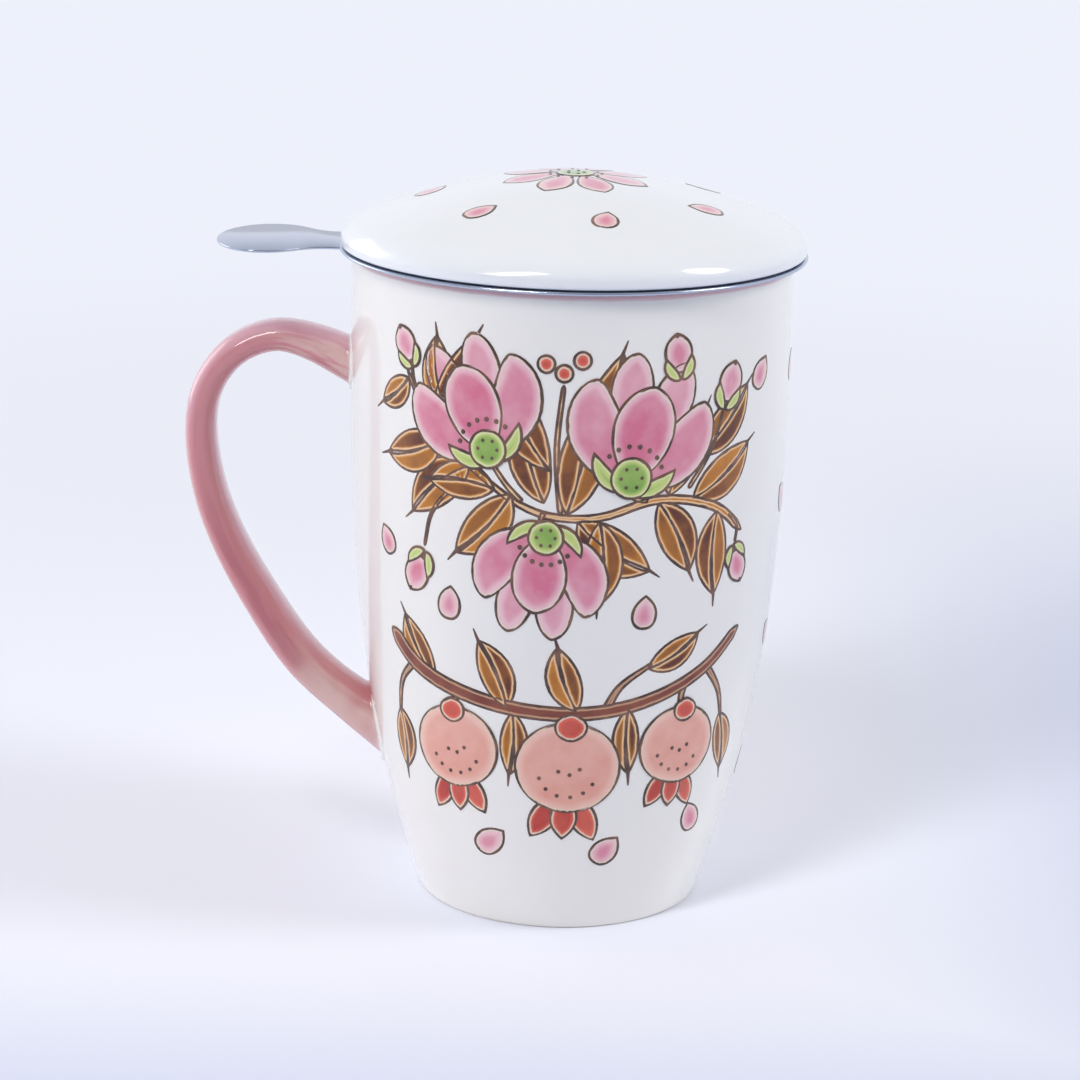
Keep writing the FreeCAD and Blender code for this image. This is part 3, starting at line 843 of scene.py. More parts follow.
def lid_outline():
    """Outline of the lid's section, from the dome's top to the middle of its underside."""
    sizes = bpy.context.scene.lid_sizes
    foot = lid_foot()
    shoulder = sizes.radius - sizes.shoulder_width
    dome_steps = 26
    points = [(shoulder * k / dome_steps, foot + dome_height(shoulder * k / dome_steps))
              for k in range(dome_steps + 1)]
    probe = 0.01 * MM
    slope = (dome_height(shoulder) - dome_height(shoulder - probe)) / probe
    edge_top = Vector((sizes.radius, foot + sizes.edge_height))
    start = Vector(points[-1])
    upper = start + Vector((sizes.shoulder_width, slope * sizes.shoulder_width))
    rounding = interpolate_bezier(
        start, start.lerp(upper, ROUND_PULL), edge_top.lerp(upper, ROUND_PULL), edge_top, 16)
    points += [tuple(p) for p in rounding[1:]]
    foot_round = 0.5 * MM
    gap = sizes.foot_gap
    points += arc((sizes.radius - foot_round, foot + gap + foot_round), foot_round, 0, -90, 5)
    points += [(sizes.radius - sizes.foot_inset, foot + gap), (sizes.radius - sizes.foot_inset - gap, foot)]
    points += [(sizes.ring_outer, foot)]
    ring_bottom = foot - sizes.ring_depth
    ring_round = sizes.ring_round
    points += arc((sizes.ring_outer - ring_round, ring_bottom + ring_round), ring_round, 0, -90, 5)
    points += arc((sizes.ring_inner + ring_round, ring_bottom + ring_round), ring_round, -90, -180, 5)
    inside_steps = 16
    for k in range(inside_steps + 1):
        radius = sizes.ring_inner * (1.0 - k / inside_steps)
        points.append((radius, foot + dome_height(radius) - sizes.wall))
    return points


def lid_foot():
    """Height of the flange that the lid stands on."""
    return bpy.context.scene.infuser_sizes.flange_top


def on_mug(azimuth, flip=1.0, raised=0.0):
    """Wraps a flat drawing, in millimetres, round the mug; its x = 0 is at that azimuth."""
    def place(x, y, lift):
        height = (y + raised) * MM
        turn = azimuth + flip * x * MM / mug_radius(height)
        radius = mug_radius(height) + lift
        return Vector((radius * math.sin(turn), -radius * math.cos(turn), height))
    return place


def on_lid():
    """Lays a flat drawing, in millimetres from the lid's middle, on the dome."""
    def place(x, y, lift):
        spot = Vector((x * MM, y * MM))
        return Vector((spot.x, spot.y, lid_foot() + dome_height(spot.length) + lift))
    return place


class Painting:
    """Painted shapes of one colour, gathered in one mesh."""
    # Across a shape, from its edge inwards: distance in mm, share of a narrow shape, and relief in mm
    edge_steps = (
        (0.0, 0.0, -0.04), (0.12, 0.2, 0.026), (0.36, 0.45, 0.03), (0.6, 0.65, 0.018), (0.9, 0.85, 0.018))
    # How much higher a shape lies than the one under it, in mm
    level_lift = 0.036

    def __init__(self, name, colour, margin):
        self.name = name
        self.material = painted_glaze(name, colour, margin * MM)
        self.bm = bmesh.new()
        self.layers = [self.bm.verts.layers.float.new(key) for key in PAINT_VALUES]

    def shape(self, surface, spine, half_width, tone=0.5, level=0, rows=20, blush=0.3):
        """One shape: a grid bent along its spine, raised at its edge, with its depth from the edge stored."""
        inner = 2 + int(half_width(0.5) / 2.0)
        columns = 2 * (len(self.edge_steps) - 1 + inner)
        grid = bmesh.ops.create_grid(self.bm, x_segments=rows, y_segments=columns, size=0.5)["verts"]
        rim = []
        placed = []
        for vert in grid:
            part = 0.5 - 0.5 * math.cos(math.pi * (vert.co.x + 0.5))
            column = round(abs(vert.co.y) * columns)
            step = columns // 2 - column
            side = math.copysign(1.0, vert.co.y)
            point, normal = spine(part)
            half = half_width(part)
            last_distance, last_share, last_relief = self.edge_steps[-1]
            if step < len(self.edge_steps):
                distance, narrow, relief = self.edge_steps[step]
                inwards = min(distance, half * narrow)
            else:
                reached = min(last_distance, half * last_share)
                inwards = reached + (half - reached) * (step - len(self.edge_steps) + 1) / inner
                relief = last_relief
            spot = point + normal * side * (half - inwards)
            placed.append((vert, spot, relief, part))
            if step == 0:
                rim.append(spot)
        tree = KDTree(len(rim))
        for k, spot in enumerate(rim):
            tree.insert((spot.x, spot.y, 0.0), k)
        tree.balance()
        lift = level * self.level_lift
        for vert, spot, relief, part in placed:
            depth = tree.find((spot.x, spot.y, 0.0))[2]
            vert.co = surface(spot.x, spot.y, (relief + lift) * MM)
            for layer, value in zip(self.layers, (depth * MM, tone, blush * part)):
                vert[layer] = value
        bmesh.ops.remove_doubles(self.bm, verts=grid, dist=2.0 * MERGE)

    def petal(self, surface, base, tip, width, bend=0.0, belly=0.5, ends=(0.7, 0.7), **look):
        """A shape from base to tip; bend moves its middle sideways and ends round or sharpen it."""
        base, tip = Vector(base), Vector(tip)
        line = tip - base
        normal = Vector((-line.y, line.x)).normalized()
        skew = math.log(0.5) / math.log(belly)

        def spine(part):
            point = base + line * part + normal * bend * 4.0 * part * (1.0 - part)
            slope = line + normal * bend * 4.0 * (1.0 - 2.0 * part)
            return point, Vector((-slope.y, slope.x)).normalized()

        def half_width(part):
            t = part ** skew
            sharpness = ends[0] + (ends[1] - ends[0]) * part
            return width / 2.0 * max(0.0, 4.0 * t * (1.0 - t)) ** sharpness

        self.shape(surface, spine, half_width, **look)

    def leaf(self, surface, base, tip, width, bend=0.0, tones=(0.2, 0.6), **look):
        """A leaf of two halves that meet in a midrib."""
        base, tip = Vector(base), Vector(tip)
        level = look.pop("level", 0)
        overlap = 0.35
        for side, tone in zip((-1.0, 1.0), tones):
            self.petal(
                surface, base, tip, width / 2.0 + overlap, bend + side * width / 4.0, 0.46, (0.9, 0.95),
                tone=tone, level=level + (side > 0), **look)
        # The midrib runs on past the tip as a short fine point
        ahead = (tip - base).normalized()
        self.stroke(surface, [tip - ahead * 1.6, tip, tip + ahead * 2.2], 1.0, 0.3, level=level)

    def stroke(self, surface, knots, start, end, **look):
        """A brush line through knots, from one width to another."""
        points = smooth_line([Vector((x, y, 0.0)) for x, y in knots], 8)
        run = line_lengths(points)

        def spine(part):
            probe = run[-1] * 0.01
            here = at_length(points, run, run[-1] * part)
            ahead = at_length(points, run, min(run[-1], run[-1] * part + probe))
            behind = at_length(points, run, max(0.0, run[-1] * part - probe))
            slope = ahead - behind
            return here.to_2d(), Vector((-slope.y, slope.x)).normalized()

        def half_width(part):
            # A stroke keeps its width almost to its round ends
            cap = min(1.0, 32.0 * part * (1.0 - part)) ** 0.5
            return (start + (end - start) * part) / 2.0 * cap

        self.shape(surface, spine, half_width, rows=10 * (len(knots) - 1), blush=0.0, **look)

    def finish(self, body, slot):
        """Closes every shape's underside inside the wall and makes the piece."""
        bmesh.ops.holes_fill(self.bm, edges=[e for e in self.bm.edges if e.is_boundary], sides=0)
        bmesh.ops.recalc_face_normals(self.bm, faces=self.bm.faces)
        piece = finish_piece(self.name, self.bm, [self.material], body, sharp=60.0)


def turned(point, turn, centre, size=1.0):
    """A point of a small drawing, turned in degrees, sized and moved to its centre."""
    return (Matrix.Rotation(math.radians(turn), 2) @ Vector(point)) * size + Vector(centre)


def dots(pot, surface, centre, ring, count, size, start=0.0, span=360.0, level=8):
    """Small round specks on part of a ring."""
    for k in range(count):
        swing = math.radians(start + span * k / count)
        spot = Vector(centre) + Vector((math.cos(swing), math.sin(swing))) * ring
        half = Vector((0, size / 2.0))
        pot.petal(surface, spot - half, spot + half, size, ends=(0.5, 0.5), level=level, rows=6)


def small_drawing(pots, surface, centre, turn, size):
    """A brush for a small drawing that is sized, turned in degrees and moved to its centre."""
    def petal(pot, base, tip, width, *form, **look):
        base, tip = (turned(point, turn, centre, size) for point in (base, tip))
        pots[pot].petal(surface, base, tip, width * size, *form, **look)
    return petal


def tulip(pots, surface, centre, turn, size=1.0):
    """A tulip-like flower: two back petals, two side petals, a front petal and a green cup."""
    petal = small_drawing(pots, surface, centre, turn, size)
    for side in (-1, 1):
        petal("petals", (side * 1.0, 4), (side * 4.2, 20.0), 7.4, side * -0.8, 0.6, (0.75, 0.6),
              tone=0.35, level=2 + (side > 0))
    for side in (-1, 1):
        petal("petals", (side * 0.8, 0.2), (side * 9.4, 14.6), 9.2, side * -3.0, 0.52, (0.6, 0.62),
              tone=0.15, level=4)
    petal("petals", (0, 0), (0, 15.4), 10.6, 0.0, 0.54, (0.55, 0.6), tone=0.0, level=5, rows=26)
    for side in (-1, 1):
        petal("greens", (side * 0.6, -2.0), (side * 7.0, 3.2), 3.0, side * -1.2, 0.45, (0.7, 0.9),
              tone=0.6, level=6)
    petal("greens", (0, -3.2), (0, 3.8), 7.0, 0.0, 0.5, (0.5, 0.5), tone=0.2, level=7)
    middle = turned((0, 0.3), turn, centre, size)
    dots(pots["leaves"], surface, middle, 1.7 * size, 6, 0.7)
    dots(pots["leaves"], surface, middle, 5.2 * size, 7, 0.9, turn + 32.0, 136.0)


def bud(pots, surface, centre, turn, size=1.0):
    """A closed bud in a green cap, with a brown tip."""
    petal = small_drawing(pots, surface, centre, turn, size)
    petal("petals", (0, 0), (0, 8.0), 6.2, 0.0, 0.5, (0.5, 0.75), tone=0.2, level=3)
    for side in (-1, 1):
        petal("greens", (0, -1.2), (side * 2.6, 3.6), 2.6, side * -0.8, 0.45, (0.6, 0.9),
              tone=0.5, level=4, rows=14)
    dots(pots["leaves"], surface, turned((0, 7.4), turn, centre, size), 0.0, 1, 0.9, level=5)


def spray(pots, surface):
    """A flowering vine that swings across one face of the mug."""
    leaves = pots["leaves"]
    vine = [(37, 74), (29, 80), (17, 82.5), (5, 79.5), (-6, 80.5), (-17, 87), (-27, 95), (-33, 104)]
    leaves.stroke(surface, vine, 2.2, 1.2, level=1)
    flowers = ((-14.5, 91.0, 22, 1.06), (11.5, 86.5, -14, 1.14), (-3.5, 76.0, 172, 0.98))
    stems = (
        [(-8, 82), (-11, 85), (-14, 89)],
        [(15, 82.5), (12.5, 83), (11.5, 85)],
        [(-4, 80.5), (-4.5, 79), (-3.8, 77)],
        [(-1, 80), (-2, 92), (-1, 104)],
    )
    for stem in stems:
        leaves.stroke(surface, stem, 1.4, 1.1, level=1)
    for x, y, turn, size in flowers:
        tulip(pots, surface, (x, y), turn, size)

    # Base, tip, width, bend and the two halves' tones of each leaf
    foliage = (
        ((-24, 92), (-38, 87), 8.0, 1.0, (0.0, 0.5)),
        ((-26, 96), (-17, 112), 7.6, -1.4, (0.5, 0.0)),
        ((-18, 88), (-31, 77), 8.4, -1.2, (0.0, 0.55)),
        ((-10, 83.5), (-21, 71), 7.8, 1.0, (0.35, 0.8)),
        ((-4, 82), (-8, 99), 7.6, 1.0, (0.1, 0.0)),
        ((0, 80), (3.5, 100), 8.2, -0.8, (0.55, 0.1)),
        ((2, 79), (16, 69), 8.6, -1.2, (0.0, 0.45)),
        ((6, 79), (6, 62.5), 7.2, 1.0, (0.7, 0.2)),
        ((19, 83), (26.5, 99), 8.2, 1.0, (0.1, 0.4)),
        ((17, 82), (24, 68), 7.8, 0.8, (0.45, 0.0)),
        ((24, 82), (38, 91), 8.0, -1.0, (0.2, 0.7)),
        ((30, 79), (30, 62.5), 7.4, -1.0, (0.0, 0.45)),
        ((-32, 102), (-40, 96), 5.6, 0.6, (0.5, 0.1)),
        ((-3, 88), (-13, 107), 7.6, 1.2, (0.0, 0.3)),
        ((2, 90), (9.5, 110), 7.8, -1.2, (0.15, 0.0)),
        ((-23, 96), (-25.5, 111), 7.0, 1.0, (0.0, 0.5)),
        ((25, 90), (37, 102), 7.6, -1.0, (0.0, 0.4)),
        ((-13, 84), (-27, 84), 7.2, -1.0, (0.6, 0.1)),
    )
    for k, (base, tip, width, bend, tones) in enumerate(foliage):
        leaves.leaf(surface, base, tip, width, bend, tones, level=k % 2)

    twigs = (
        [(23, 84), (28, 91), (30.5, 98)],
        [(-28.5, 97), (-31, 102), (-31.3, 106)],
        [(20, 90), (21.5, 98), (20.7, 104)],
        [(33, 78), (35.5, 75), (35.2, 72)],
        [(-20, 85), (-26, 78), (-27.8, 71)],
    )
    for twig in twigs:
        leaves.stroke(surface, twig, 1.2, 0.9, level=1)
    buds = (
        (31, 99, -16, 1.0),
        (-31.5, 105, 28, 0.9),
        (20.5, 105.5, 8, 0.95),
        (35, 70.5, -160, 0.9),
        (-28, 69, 155, 1.0),
    )
    for x, y, turn, size in buds:
        bud(pots, surface, (x, y), turn, size)
    berry = 1.8
    for x, y in ((-1.0, 106.0), (-4.2, 107.6), (2.2, 108.4)):
        pots["crowns"].petal(surface, (x, y - berry), (x, y + berry), 2.0 * berry, ends=(0.5, 0.5),
                             tone=0.3, level=3, rows=12)


def fruit(pots, surface, centre, turn, size=1.0):
    """A round hanging fruit with a red crown and a few specks."""
    petal = small_drawing(pots, surface, centre, turn, size)
    for x in (-3.0, 3.0, 0.0):
        petal("crowns", (x * 0.45, -5.4), (x * 1.7, -13.0), 4.6, 0.0, 0.45, (0.6, 0.9),
              tone=0.2 + 0.1 * x, level=2 + (x == 0.0), rows=14)
    petal("fruit", (0, -8.0), (0, 8.0), 17.0, 0.0, 0.5, (0.5, 0.5), tone=0.2, level=4, rows=28)
    petal("crowns", (0, 4.6), (0, 9.6), 5.4, 0.0, 0.5, (0.5, 0.7), tone=0.4, level=5, rows=12)
    for y, ring, count, start, span in ((-0.6, 4.6, 6, 200.0, 160.0), (1.0, 2.2, 3, 230.0, 150.0)):
        middle = turned((0, y), turn, centre, size)
        dots(pots["twigs"], surface, middle, ring * size, count, 0.8, turn + start, span, level=6)


def garland(pots, surface):
    """A swagged twig with three round fruits and small leaves."""
    twigs, leaves = pots["twigs"], pots["leaves"]
    main = [(-37, 58), (-29, 52), (-15, 48), (0, 46.5), (14, 48), (28, 53), (38, 60)]
    twigs.stroke(surface, main, 3.6, 2.6, tone=0.3, level=2)
    sides = (
        [(-30, 53), (-34, 48), (-35, 41)],
        [(8, 47), (11, 52), (17, 56)],
        [(29, 54), (33, 48), (34.5, 42)],
    )
    for side in sides:
        twigs.stroke(surface, side, 2.0, 1.1, tone=0.3, level=1)
    fruits = ((-20.5, 37.5, 5, 1.06), (1.5, 35.5, -3, 1.18), (23.5, 38.5, -8, 1.02))
    for x, y, turn, size in fruits:
        twigs.stroke(surface, [(x + 0.5, y + 12), (x, y + 10), (x, y + 7)], 1.7, 1.5, level=1)
        fruit(pots, surface, (x, y), turn, size)
    foliage = (
        ((-25, 50), (-33, 62), 6.4, 0.8, (0.1, 0.5)),
        ((-10, 47), (-16, 60), 6.6, -0.8, (0.0, 0.4)),
        ((-9, 46.5), (-9.5, 33), 5.4, 0.6, (0.5, 0.1)),
        ((3, 47), (-1, 60), 6.4, 0.8, (0.2, 0.7)),
        ((16, 55), (27, 61), 5.8, -0.8, (0.0, 0.5)),
        ((12.5, 47.5), (13.0, 33.5), 5.2, -0.5, (0.4, 0.0)),
        ((34, 43), (36, 30), 6.0, 0.8, (0.0, 0.5)),
        ((-35, 42), (-33.5, 29), 6.0, 0.8, (0.4, 0.0)),
    )
    for k, (base, tip, width, bend, tones) in enumerate(foliage):
        leaves.leaf(surface, base, tip, width, bend, tones, level=k % 2, rows=16)


def drop(pot, surface, centre, turn, size=1.0, tone=0.1):
    """A small pink drop."""
    base = turned((0, -3.2), turn, centre, size)
    tip = turned((0, 3.6), turn, centre, size)
    pot.petal(surface, base, tip, 5.2 * size, 0.0, 0.42, (0.5, 0.9), tone=tone, level=1, rows=16)


class TEAMUG_OT_body(bpy.types.Operator):
    """Make the porcelain body with its bare foot ring"""
    bl_idname = "teamug.body"
    bl_label = "Porcelain body"

    def execute(self, context):
        sizes = context.scene.mug_sizes
        bm = spin_outline(mug_outline())
        # The foot ring is wiped clean of glaze underneath and a little way up
        recess = sizes.foot_radius - sizes.foot_ring
        wiped_up, wiped_in = 0.35 * MM, 1.0 * MM
        for face in bm.faces:
            middle = face.calc_center_median()
            if middle.z < wiped_up and middle.to_2d().length > recess - wiped_in:
                face.material_index = 1
        piece = finish_piece("porcelain_body", bm, [white_porcelain(), bare_biscuit()], "mug")
        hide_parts("mug_body")
        return {"FINISHED"}


class TEAMUG_OT_handle(bpy.types.Operator):
    """Make the pink handle, luted to the body"""
    bl_idname = "teamug.handle"
    bl_label = "Handle"

    def execute(self, context):
        piece = finish_piece("pink_handle", handle_mesh(), [pink_handle_glaze()], "mug", sharp=60.0)
        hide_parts("mug_handle")
        return {"FINISHED"}


class TEAMUG_OT_infuser(bpy.types.Operator):
    """Make the steel rim with its thumb tab, the perforated wall and the floor"""
    bl_idname = "teamug.infuser"
    bl_label = "Steel infuser"

    def execute(self, context):
        sizes = context.scene.infuser_sizes
        colours = context.scene.mug_colours
        satin = brushed_steel("satin_stainless_steel", colours.rim_steel, 0.16, 9.0 / MM, 0.03 * MM)
        rolled = brushed_steel("rolled_stainless_sheet", colours.sheet_steel, 0.2, 14.0 / MM, 0.10 * MM)
        bm = spin_outline(rim_outline(), closed=True)
        add_tab(bm)
        rim = finish_piece("steel_rim", bm, [satin], "infuser", sharp=35.0)
        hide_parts("infuser_rim")
        wall = finish_piece("perforated_wall", basket_wall_mesh(), [rolled], "infuser")
        give_thickness(wall, sizes.basket_sheet)
        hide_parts("infuser_wall")
        cup = finish_piece("perforated_floor", basket_floor_mesh(), [rolled], "infuser")
        give_thickness(cup, sizes.basket_sheet)
        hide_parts("infuser_floor")
        return {"FINISHED"}


class TEAMUG_OT_lid(bpy.types.Operator):
    """Make the domed lid with its locating ring"""
    bl_idname = "teamug.lid"
    bl_label = "Lid"

    def execute(self, context):
        piece = finish_piece("porcelain_lid", spin_outline(lid_outline()), [lid_porcelain()], "lid")
        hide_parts("lid")
        return {"FINISHED"}


class TEAMUG_OT_mug_painting(bpy.types.Operator):
    """Paint the flowering vine, the fruit garland and the scattered drops on the mug"""
    bl_idname = "teamug.mug_painting"
    bl_label = "Painting on the mug"

    def execute(self, context):
        pots = {
            "leaves": Painting("painted_leaves", "leaf", 0.6),
            "petals": Painting("painted_petals", "petal", 1.7),
            "greens": Painting("painted_greens", "green", 1.0),
            "fruit": Painting("painted_fruit", "salmon", 1.8),
            "crowns": Painting("painted_crowns", "coral", 0.9),
            "twigs": Painting("painted_twigs", "twig", 0.4),
        }
        for azimuth, flip in ((0.0, 1.0), (math.pi, -1.0)):
            spray(pots, on_mug(azimuth, flip, raised=5.0))
            garland(pots, on_mug(azimuth, flip))

        # Drops between the two drawings at the front and the back, and down the side without a handle
        chance = random.Random(context.scene.mug_detail.seed)
        scattered = ((-22, 66), (15, 66), (41, 108), (-38, 75), (9, 17.5), (-13, 18.5), (28, 21.5))
        side = ((-6, 106), (9, 94), (-8, 81), (7, 68), (-7, 54), (8, 41), (-4, 27))
        faces = (
            (on_mug(0.0), scattered), (on_mug(math.pi, flip=-1.0), scattered), (on_mug(math.pi / 2.0), side))
        for surface, centres in faces:
            for centre in centres:
                drop(pots["petals"], surface, centre, chance.uniform(-50, 50), chance.uniform(0.9, 1.1),
                     chance.uniform(0.0, 0.3))
        for pot in pots.values():
            pot.finish("mug", "porcelain")
        return {"FINISHED"}


class TEAMUG_OT_lid_painting(bpy.types.Operator):
    """Paint the rosette and the ring of drops on the lid"""
    bl_idname = "teamug.lid_painting"
    bl_label = "Painting on the lid"

    def execute(self, context):
        petals = Painting("lid_petals", "petal", 1.7)
        greens = Painting("lid_greens", "green", 1.0)
        leaves = Painting("lid_dots", "leaf", 0.6)
        surface = on_lid()
        middle = (0, 0)
        count = 8
        for k in range(count):
            turn = 360.0 * (k + 0.5) / count
            base, tip = (turned((0, out), turn, middle) for out in (2.4, 14.6))
            petals.petal(surface, base, tip, 6.8, 0.0, 0.6, (0.8, 0.85), tone=0.05 + 0.2 * (k % 2),
                         level=k % 2)
        greens.petal(surface, (0, -3.8), (0, 3.8), 7.6, ends=(0.5, 0.5), tone=0.2, level=3)
        for ring, number in ((1.6, 5), (4.9, 11)):
            dots(leaves, surface, middle, ring, number, 0.75, level=5)
        drops = 7
        for k in range(drops):
            turn = 360.0 * k / drops + 12.0
            drop(petals, surface, turned((0, -27.0), turn, middle), turn + 60.0 * (k % 2) - 20.0, 1.0)
        for pot in (petals, greens, leaves):
            pot.finish("lid", "porcelain")
        return {"FINISHED"}


class TEAMUG_OT_stage(bpy.types.Operator):
    """Set the pale table, the light tent, the three soft lamps and the camera"""
    bl_idname = "teamug.stage"
    bl_label = "Stage"

    def execute(self, context):
        add_table()
        add_world()
        add_lamps()
        add_camera()
        context.scene.view_settings.view_transform = "Standard"
        return {"FINISHED"}


def seen_directly(tree, rays):
    """1 where the camera, gloss or glass shows a thing itself, 0 where only its light counts."""
    seen = rays["Is Camera Ray"]
    for other in ("Is Glossy Ray", "Is Transmission Ray"):
        seen = add(tree, "ShaderNodeMath", {0: seen, 1: rays[other]}, operation="MAXIMUM").outputs[0]
    return seen


def add_table():
    """A pale table that keeps the mug's shadow and turns into a plain backdrop further away."""
    colours = bpy.context.scene.mug_colours
    reach = 8.0
    bm = bmesh.new()
    bmesh.ops.create_circle(bm, cap_ends=True, radius=reach, segments=64)
    mesh = bpy.data.meshes.new("table")
    bm.to_mesh(mesh)
    bm.free()
    material, tree = new_material("matt_pale_table")
    place = add(tree, "ShaderNodeTexCoord").outputs["Object"]
    distance = add(tree, "ShaderNodeVectorMath", {0: place}, operation="LENGTH").outputs["Value"]
    parts = add(tree, "ShaderNodeSeparateXYZ", {0: place}).outputs

    # The backdrop takes over with the distance from the mug. The light falls off towards the right, in
    # front of the backdrop, and towards the camera. Each has its value, start and end in metres, and amount.
    fades = (
        (distance, 0.10, 0.70, 1.0),
        (parts["X"], 0.04, 0.16, 1.0),
        (parts["Y"], 0.45, 0.10, 1.0),
        (parts["Y"], -0.04, -0.12, 0.8),
    )
    far, right, front, near_camera = (
        add(tree, "ShaderNodeMapRange", {
            "Value": value, "From Min": start, "From Max": end, "To Max": amount},
            interpolation_type="SMOOTHSTEP").outputs[0]
        for value, start, end, amount in fades)
    dim = add(tree, "ShaderNodeMath", {0: right, 1: front}, operation="MULTIPLY").outputs[0]
    dim = add(tree, "ShaderNodeMath", {0: dim, 1: near_camera}, operation="MAXIMUM").outputs[0]
    near = add(tree, "ShaderNodeMix", {
        0: dim, 6: rgba(colours.floor_near), 7: rgba(colours.floor_dim)}, data_type="RGBA").outputs[2]
    board = add(tree, "ShaderNodeBsdfPrincipled", {
        "Base Color": near, "Roughness": 0.9, "Specular IOR Level": 0.1})
    backdrop = add(tree, "ShaderNodeEmission", {"Color": rgba(colours.floor_far), "Strength": 1.0})
    seen = seen_directly(tree, add(tree, "ShaderNodeLightPath").outputs)
    share_seen = add(tree, "ShaderNodeMath", {0: far, 1: seen}, operation="MULTIPLY").outputs[0]
    surface = add(tree, "ShaderNodeMixShader", {0: share_seen, 1: board.outputs[0], 2: backdrop.outputs[0]})
    add(tree, "ShaderNodeOutputMaterial", {"Surface": surface.outputs[0]})
    mesh.materials.append(material)
    table = bpy.data.objects.new("table", mesh)
    bpy.context.scene.collection.objects.link(table)


def add_world():
    """A white light tent, open and dark behind the camera; seen directly it is a pale backdrop."""
    colours = bpy.context.scene.mug_colours
    world = bpy.data.worlds.new("light_tent")
    bpy.context.scene.world = world
    world.use_nodes = True
    tree = world.node_tree
    tree.nodes.clear()
    direction = add(tree, "ShaderNodeTexCoord").outputs["Generated"]
    parts = add(tree, "ShaderNodeSeparateXYZ", {0: direction}).outputs

    # Each change of the tent's brightness: along which direction, its start and end, and its two levels
    changes = (
        (parts["Y"], -0.85, -0.1, TENT_FRONT, 1.0),
        (parts["Z"], 0.2, 0.85, 1.0, TENT_ROOF),
        (parts["Y"], 0.1, 0.9, TENT_LEVEL, TENT_LEVEL * TENT_BACK),
    )
    opening, roof, back = (
        add(tree, "ShaderNodeMapRange", {
            "Value": value, "From Min": start, "From Max": end, "To Min": first, "To Max": last},
            interpolation_type="SMOOTHSTEP").outputs[0]
        for value, start, end, first, last in changes)
    walls = add(tree, "ShaderNodeMath", {0: opening, 1: roof}, operation="MULTIPLY").outputs[0]
    level = add(tree, "ShaderNodeMath", {0: walls, 1: back}, operation="MULTIPLY").outputs[0]
    light = add(tree, "ShaderNodeBackground", {"Color": (*TENT_TINT, 1.0), "Strength": level})

    # Gloss shows the backdrop too, with the tent's opening as a dimmer place that glaze and steel pick up
    mirrored = add(tree, "ShaderNodeMapRange", {"Value": walls, "To Min": TENT_MIRRORED}).outputs[0]
    rays = add(tree, "ShaderNodeLightPath").outputs
    plain = add(tree, "ShaderNodeMix", {0: rays["Is Glossy Ray"], 2: 1.0, 3: mirrored}).outputs[0]
    backdrop = add(tree, "ShaderNodeBackground", {"Color": rgba(colours.floor_far), "Strength": plain})
    seen = seen_directly(tree, rays)
    both = add(tree, "ShaderNodeMixShader", {0: seen, 1: light.outputs[0], 2: backdrop.outputs[0]})
    add(tree, "ShaderNodeOutputWorld", {"Surface": both.outputs[0]})


def add_lamp(name, azimuth, elevation, roll, shape, size, power):
    """A soft lamp aimed at the middle of the mug, placed and rolled by angles in degrees."""
    a, e = math.radians(azimuth), math.radians(elevation)
    back = Vector((math.sin(a) * math.cos(e), -math.cos(a) * math.cos(e), math.sin(e)))
    light = bpy.data.lights.new(name, "AREA")
    light.shape = shape
    light.size, light.size_y = size
    light.energy = power
    light.color = LAMP_TINT
    lamp = bpy.data.objects.new(name, light)
    lamp.location = LAMP_AIM + back * LAMP_DISTANCE
    lamp.rotation_mode = "QUATERNION"
    lamp.rotation_quaternion = (-back).to_track_quat("-Z", "Y") @ Quaternion((0, 0, 1), math.radians(roll))
    lamp.visible_camera = False
    bpy.context.scene.collection.objects.link(lamp)


def add_lamps():
    """One lamp left of the camera, one further round at the right, and a wide panel behind on the left."""
    add_lamp("left_lamp", -33.0, 42.0, -25.0, "RECTANGLE", (0.24, 0.70), 6.0)
    add_lamp("right_lamp", 80.0, 40.0, 0.0, "ELLIPSE", (0.36, 0.60), 3.4)
    add_lamp("left_panel", -122.0, 14.0, 0.0, "RECTANGLE", (0.72, 0.70), 2.0)


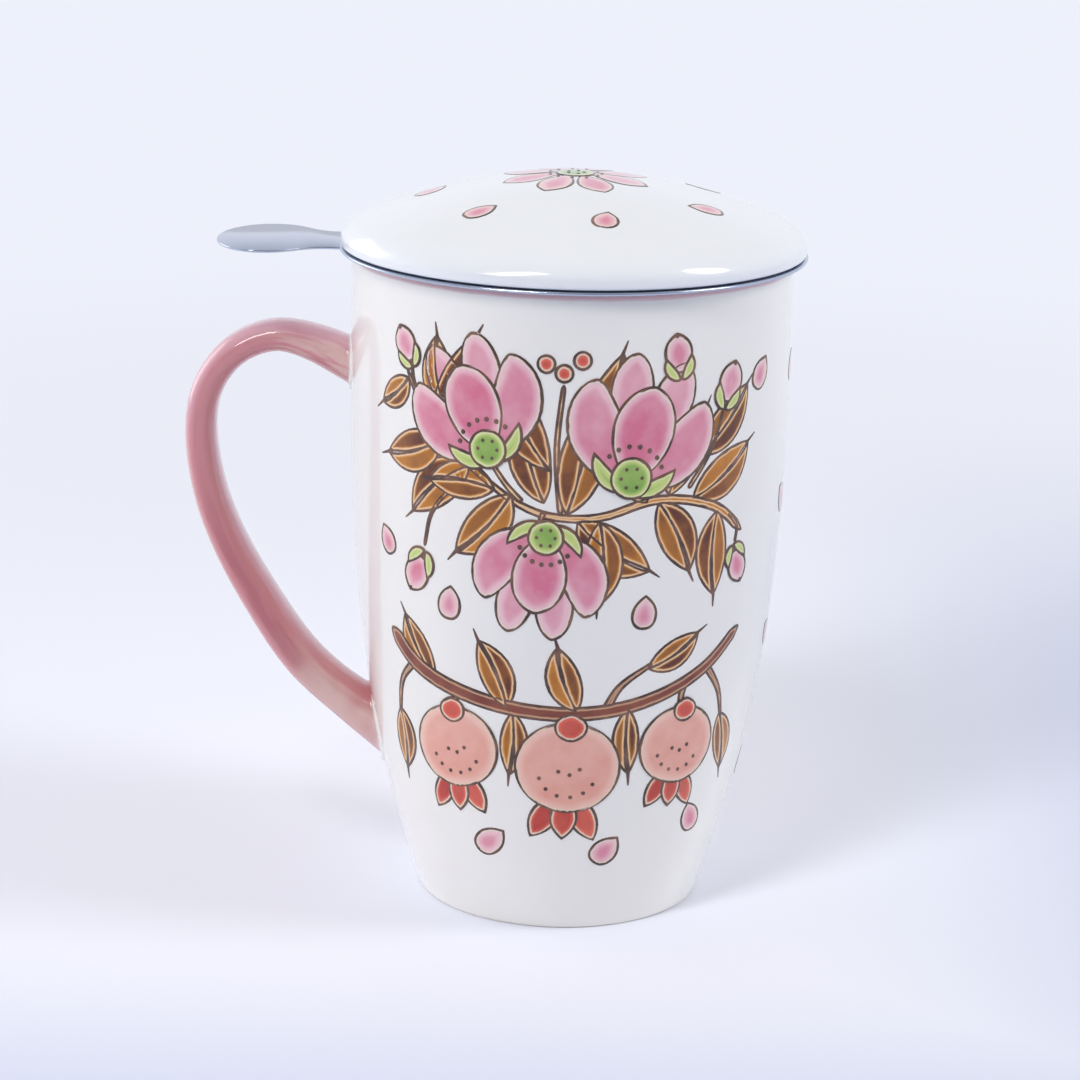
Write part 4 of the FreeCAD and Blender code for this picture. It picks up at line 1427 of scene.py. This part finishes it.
def add_camera():
    """The camera at the photograph's place and angle."""
    data = bpy.data.cameras.new("camera")
    data.sensor_width = SENSOR_WIDTH
    data.lens = SENSOR_WIDTH * FOCAL_PIXELS / PHOTO_PIXELS
    camera = bpy.data.objects.new("camera", data)
    down, turn, roll = (math.radians(angle) for angle in (CAMERA_DOWN, CAMERA_TURN, CAMERA_ROLL))
    camera.matrix_world = (
        Matrix.Translation(CAMERA_PLACE) @ Matrix.Rotation(turn, 4, "Z")
        @ Matrix.Rotation(math.pi / 2.0 - down, 4, "X") @ Matrix.Rotation(roll, 4, "Z"))
    bpy.context.scene.collection.objects.link(camera)
    bpy.context.scene.camera = camera


class TEAMUG_PT_panel(bpy.types.Panel):
    """Lists the pieces of the mug"""
    bl_idname = "TEAMUG_PT_panel"
    bl_label = "Tea mug"
    bl_space_type = "VIEW_3D"
    bl_region_type = "UI"
    bl_category = "Tea mug"

    def draw(self, context):
        for operator in operators:
            self.layout.operator(operator.bl_idname)


operators = (
    TEAMUG_OT_body,
    TEAMUG_OT_handle,
    TEAMUG_OT_infuser,
    TEAMUG_OT_lid,
    TEAMUG_OT_mug_painting,
    TEAMUG_OT_lid_painting,
    TEAMUG_OT_stage,
)
groups = {
    "mug_sizes": MugSizes,
    "infuser_sizes": InfuserSizes,
    "lid_sizes": LidSizes,
    "mug_colours": Colours,
    "mug_detail": Detail,
}


def register():
    """Registers the properties, the operators and the panel."""
    for name, group in groups.items():
        bpy.utils.register_class(group)
        setattr(bpy.types.Scene, name, PointerProperty(type=group))
    for operator in operators:
        bpy.utils.register_class(operator)
    bpy.utils.register_class(TEAMUG_PT_panel)


def unregister():
    """Takes away what register added."""
    bpy.utils.unregister_class(TEAMUG_PT_panel)
    for operator in reversed(operators):
        bpy.utils.unregister_class(operator)
    for name, group in groups.items():
        delattr(bpy.types.Scene, name)
        bpy.utils.unregister_class(group)


def main():
    """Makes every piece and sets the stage."""
    register()
    bpy.ops.teamug.body()
    bpy.ops.teamug.handle()
    bpy.ops.teamug.infuser()
    bpy.ops.teamug.lid()
    bpy.ops.teamug.mug_painting()
    bpy.ops.teamug.lid_painting()
    bpy.ops.teamug.stage()
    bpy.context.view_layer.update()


if __name__ == "__main__":
    main()
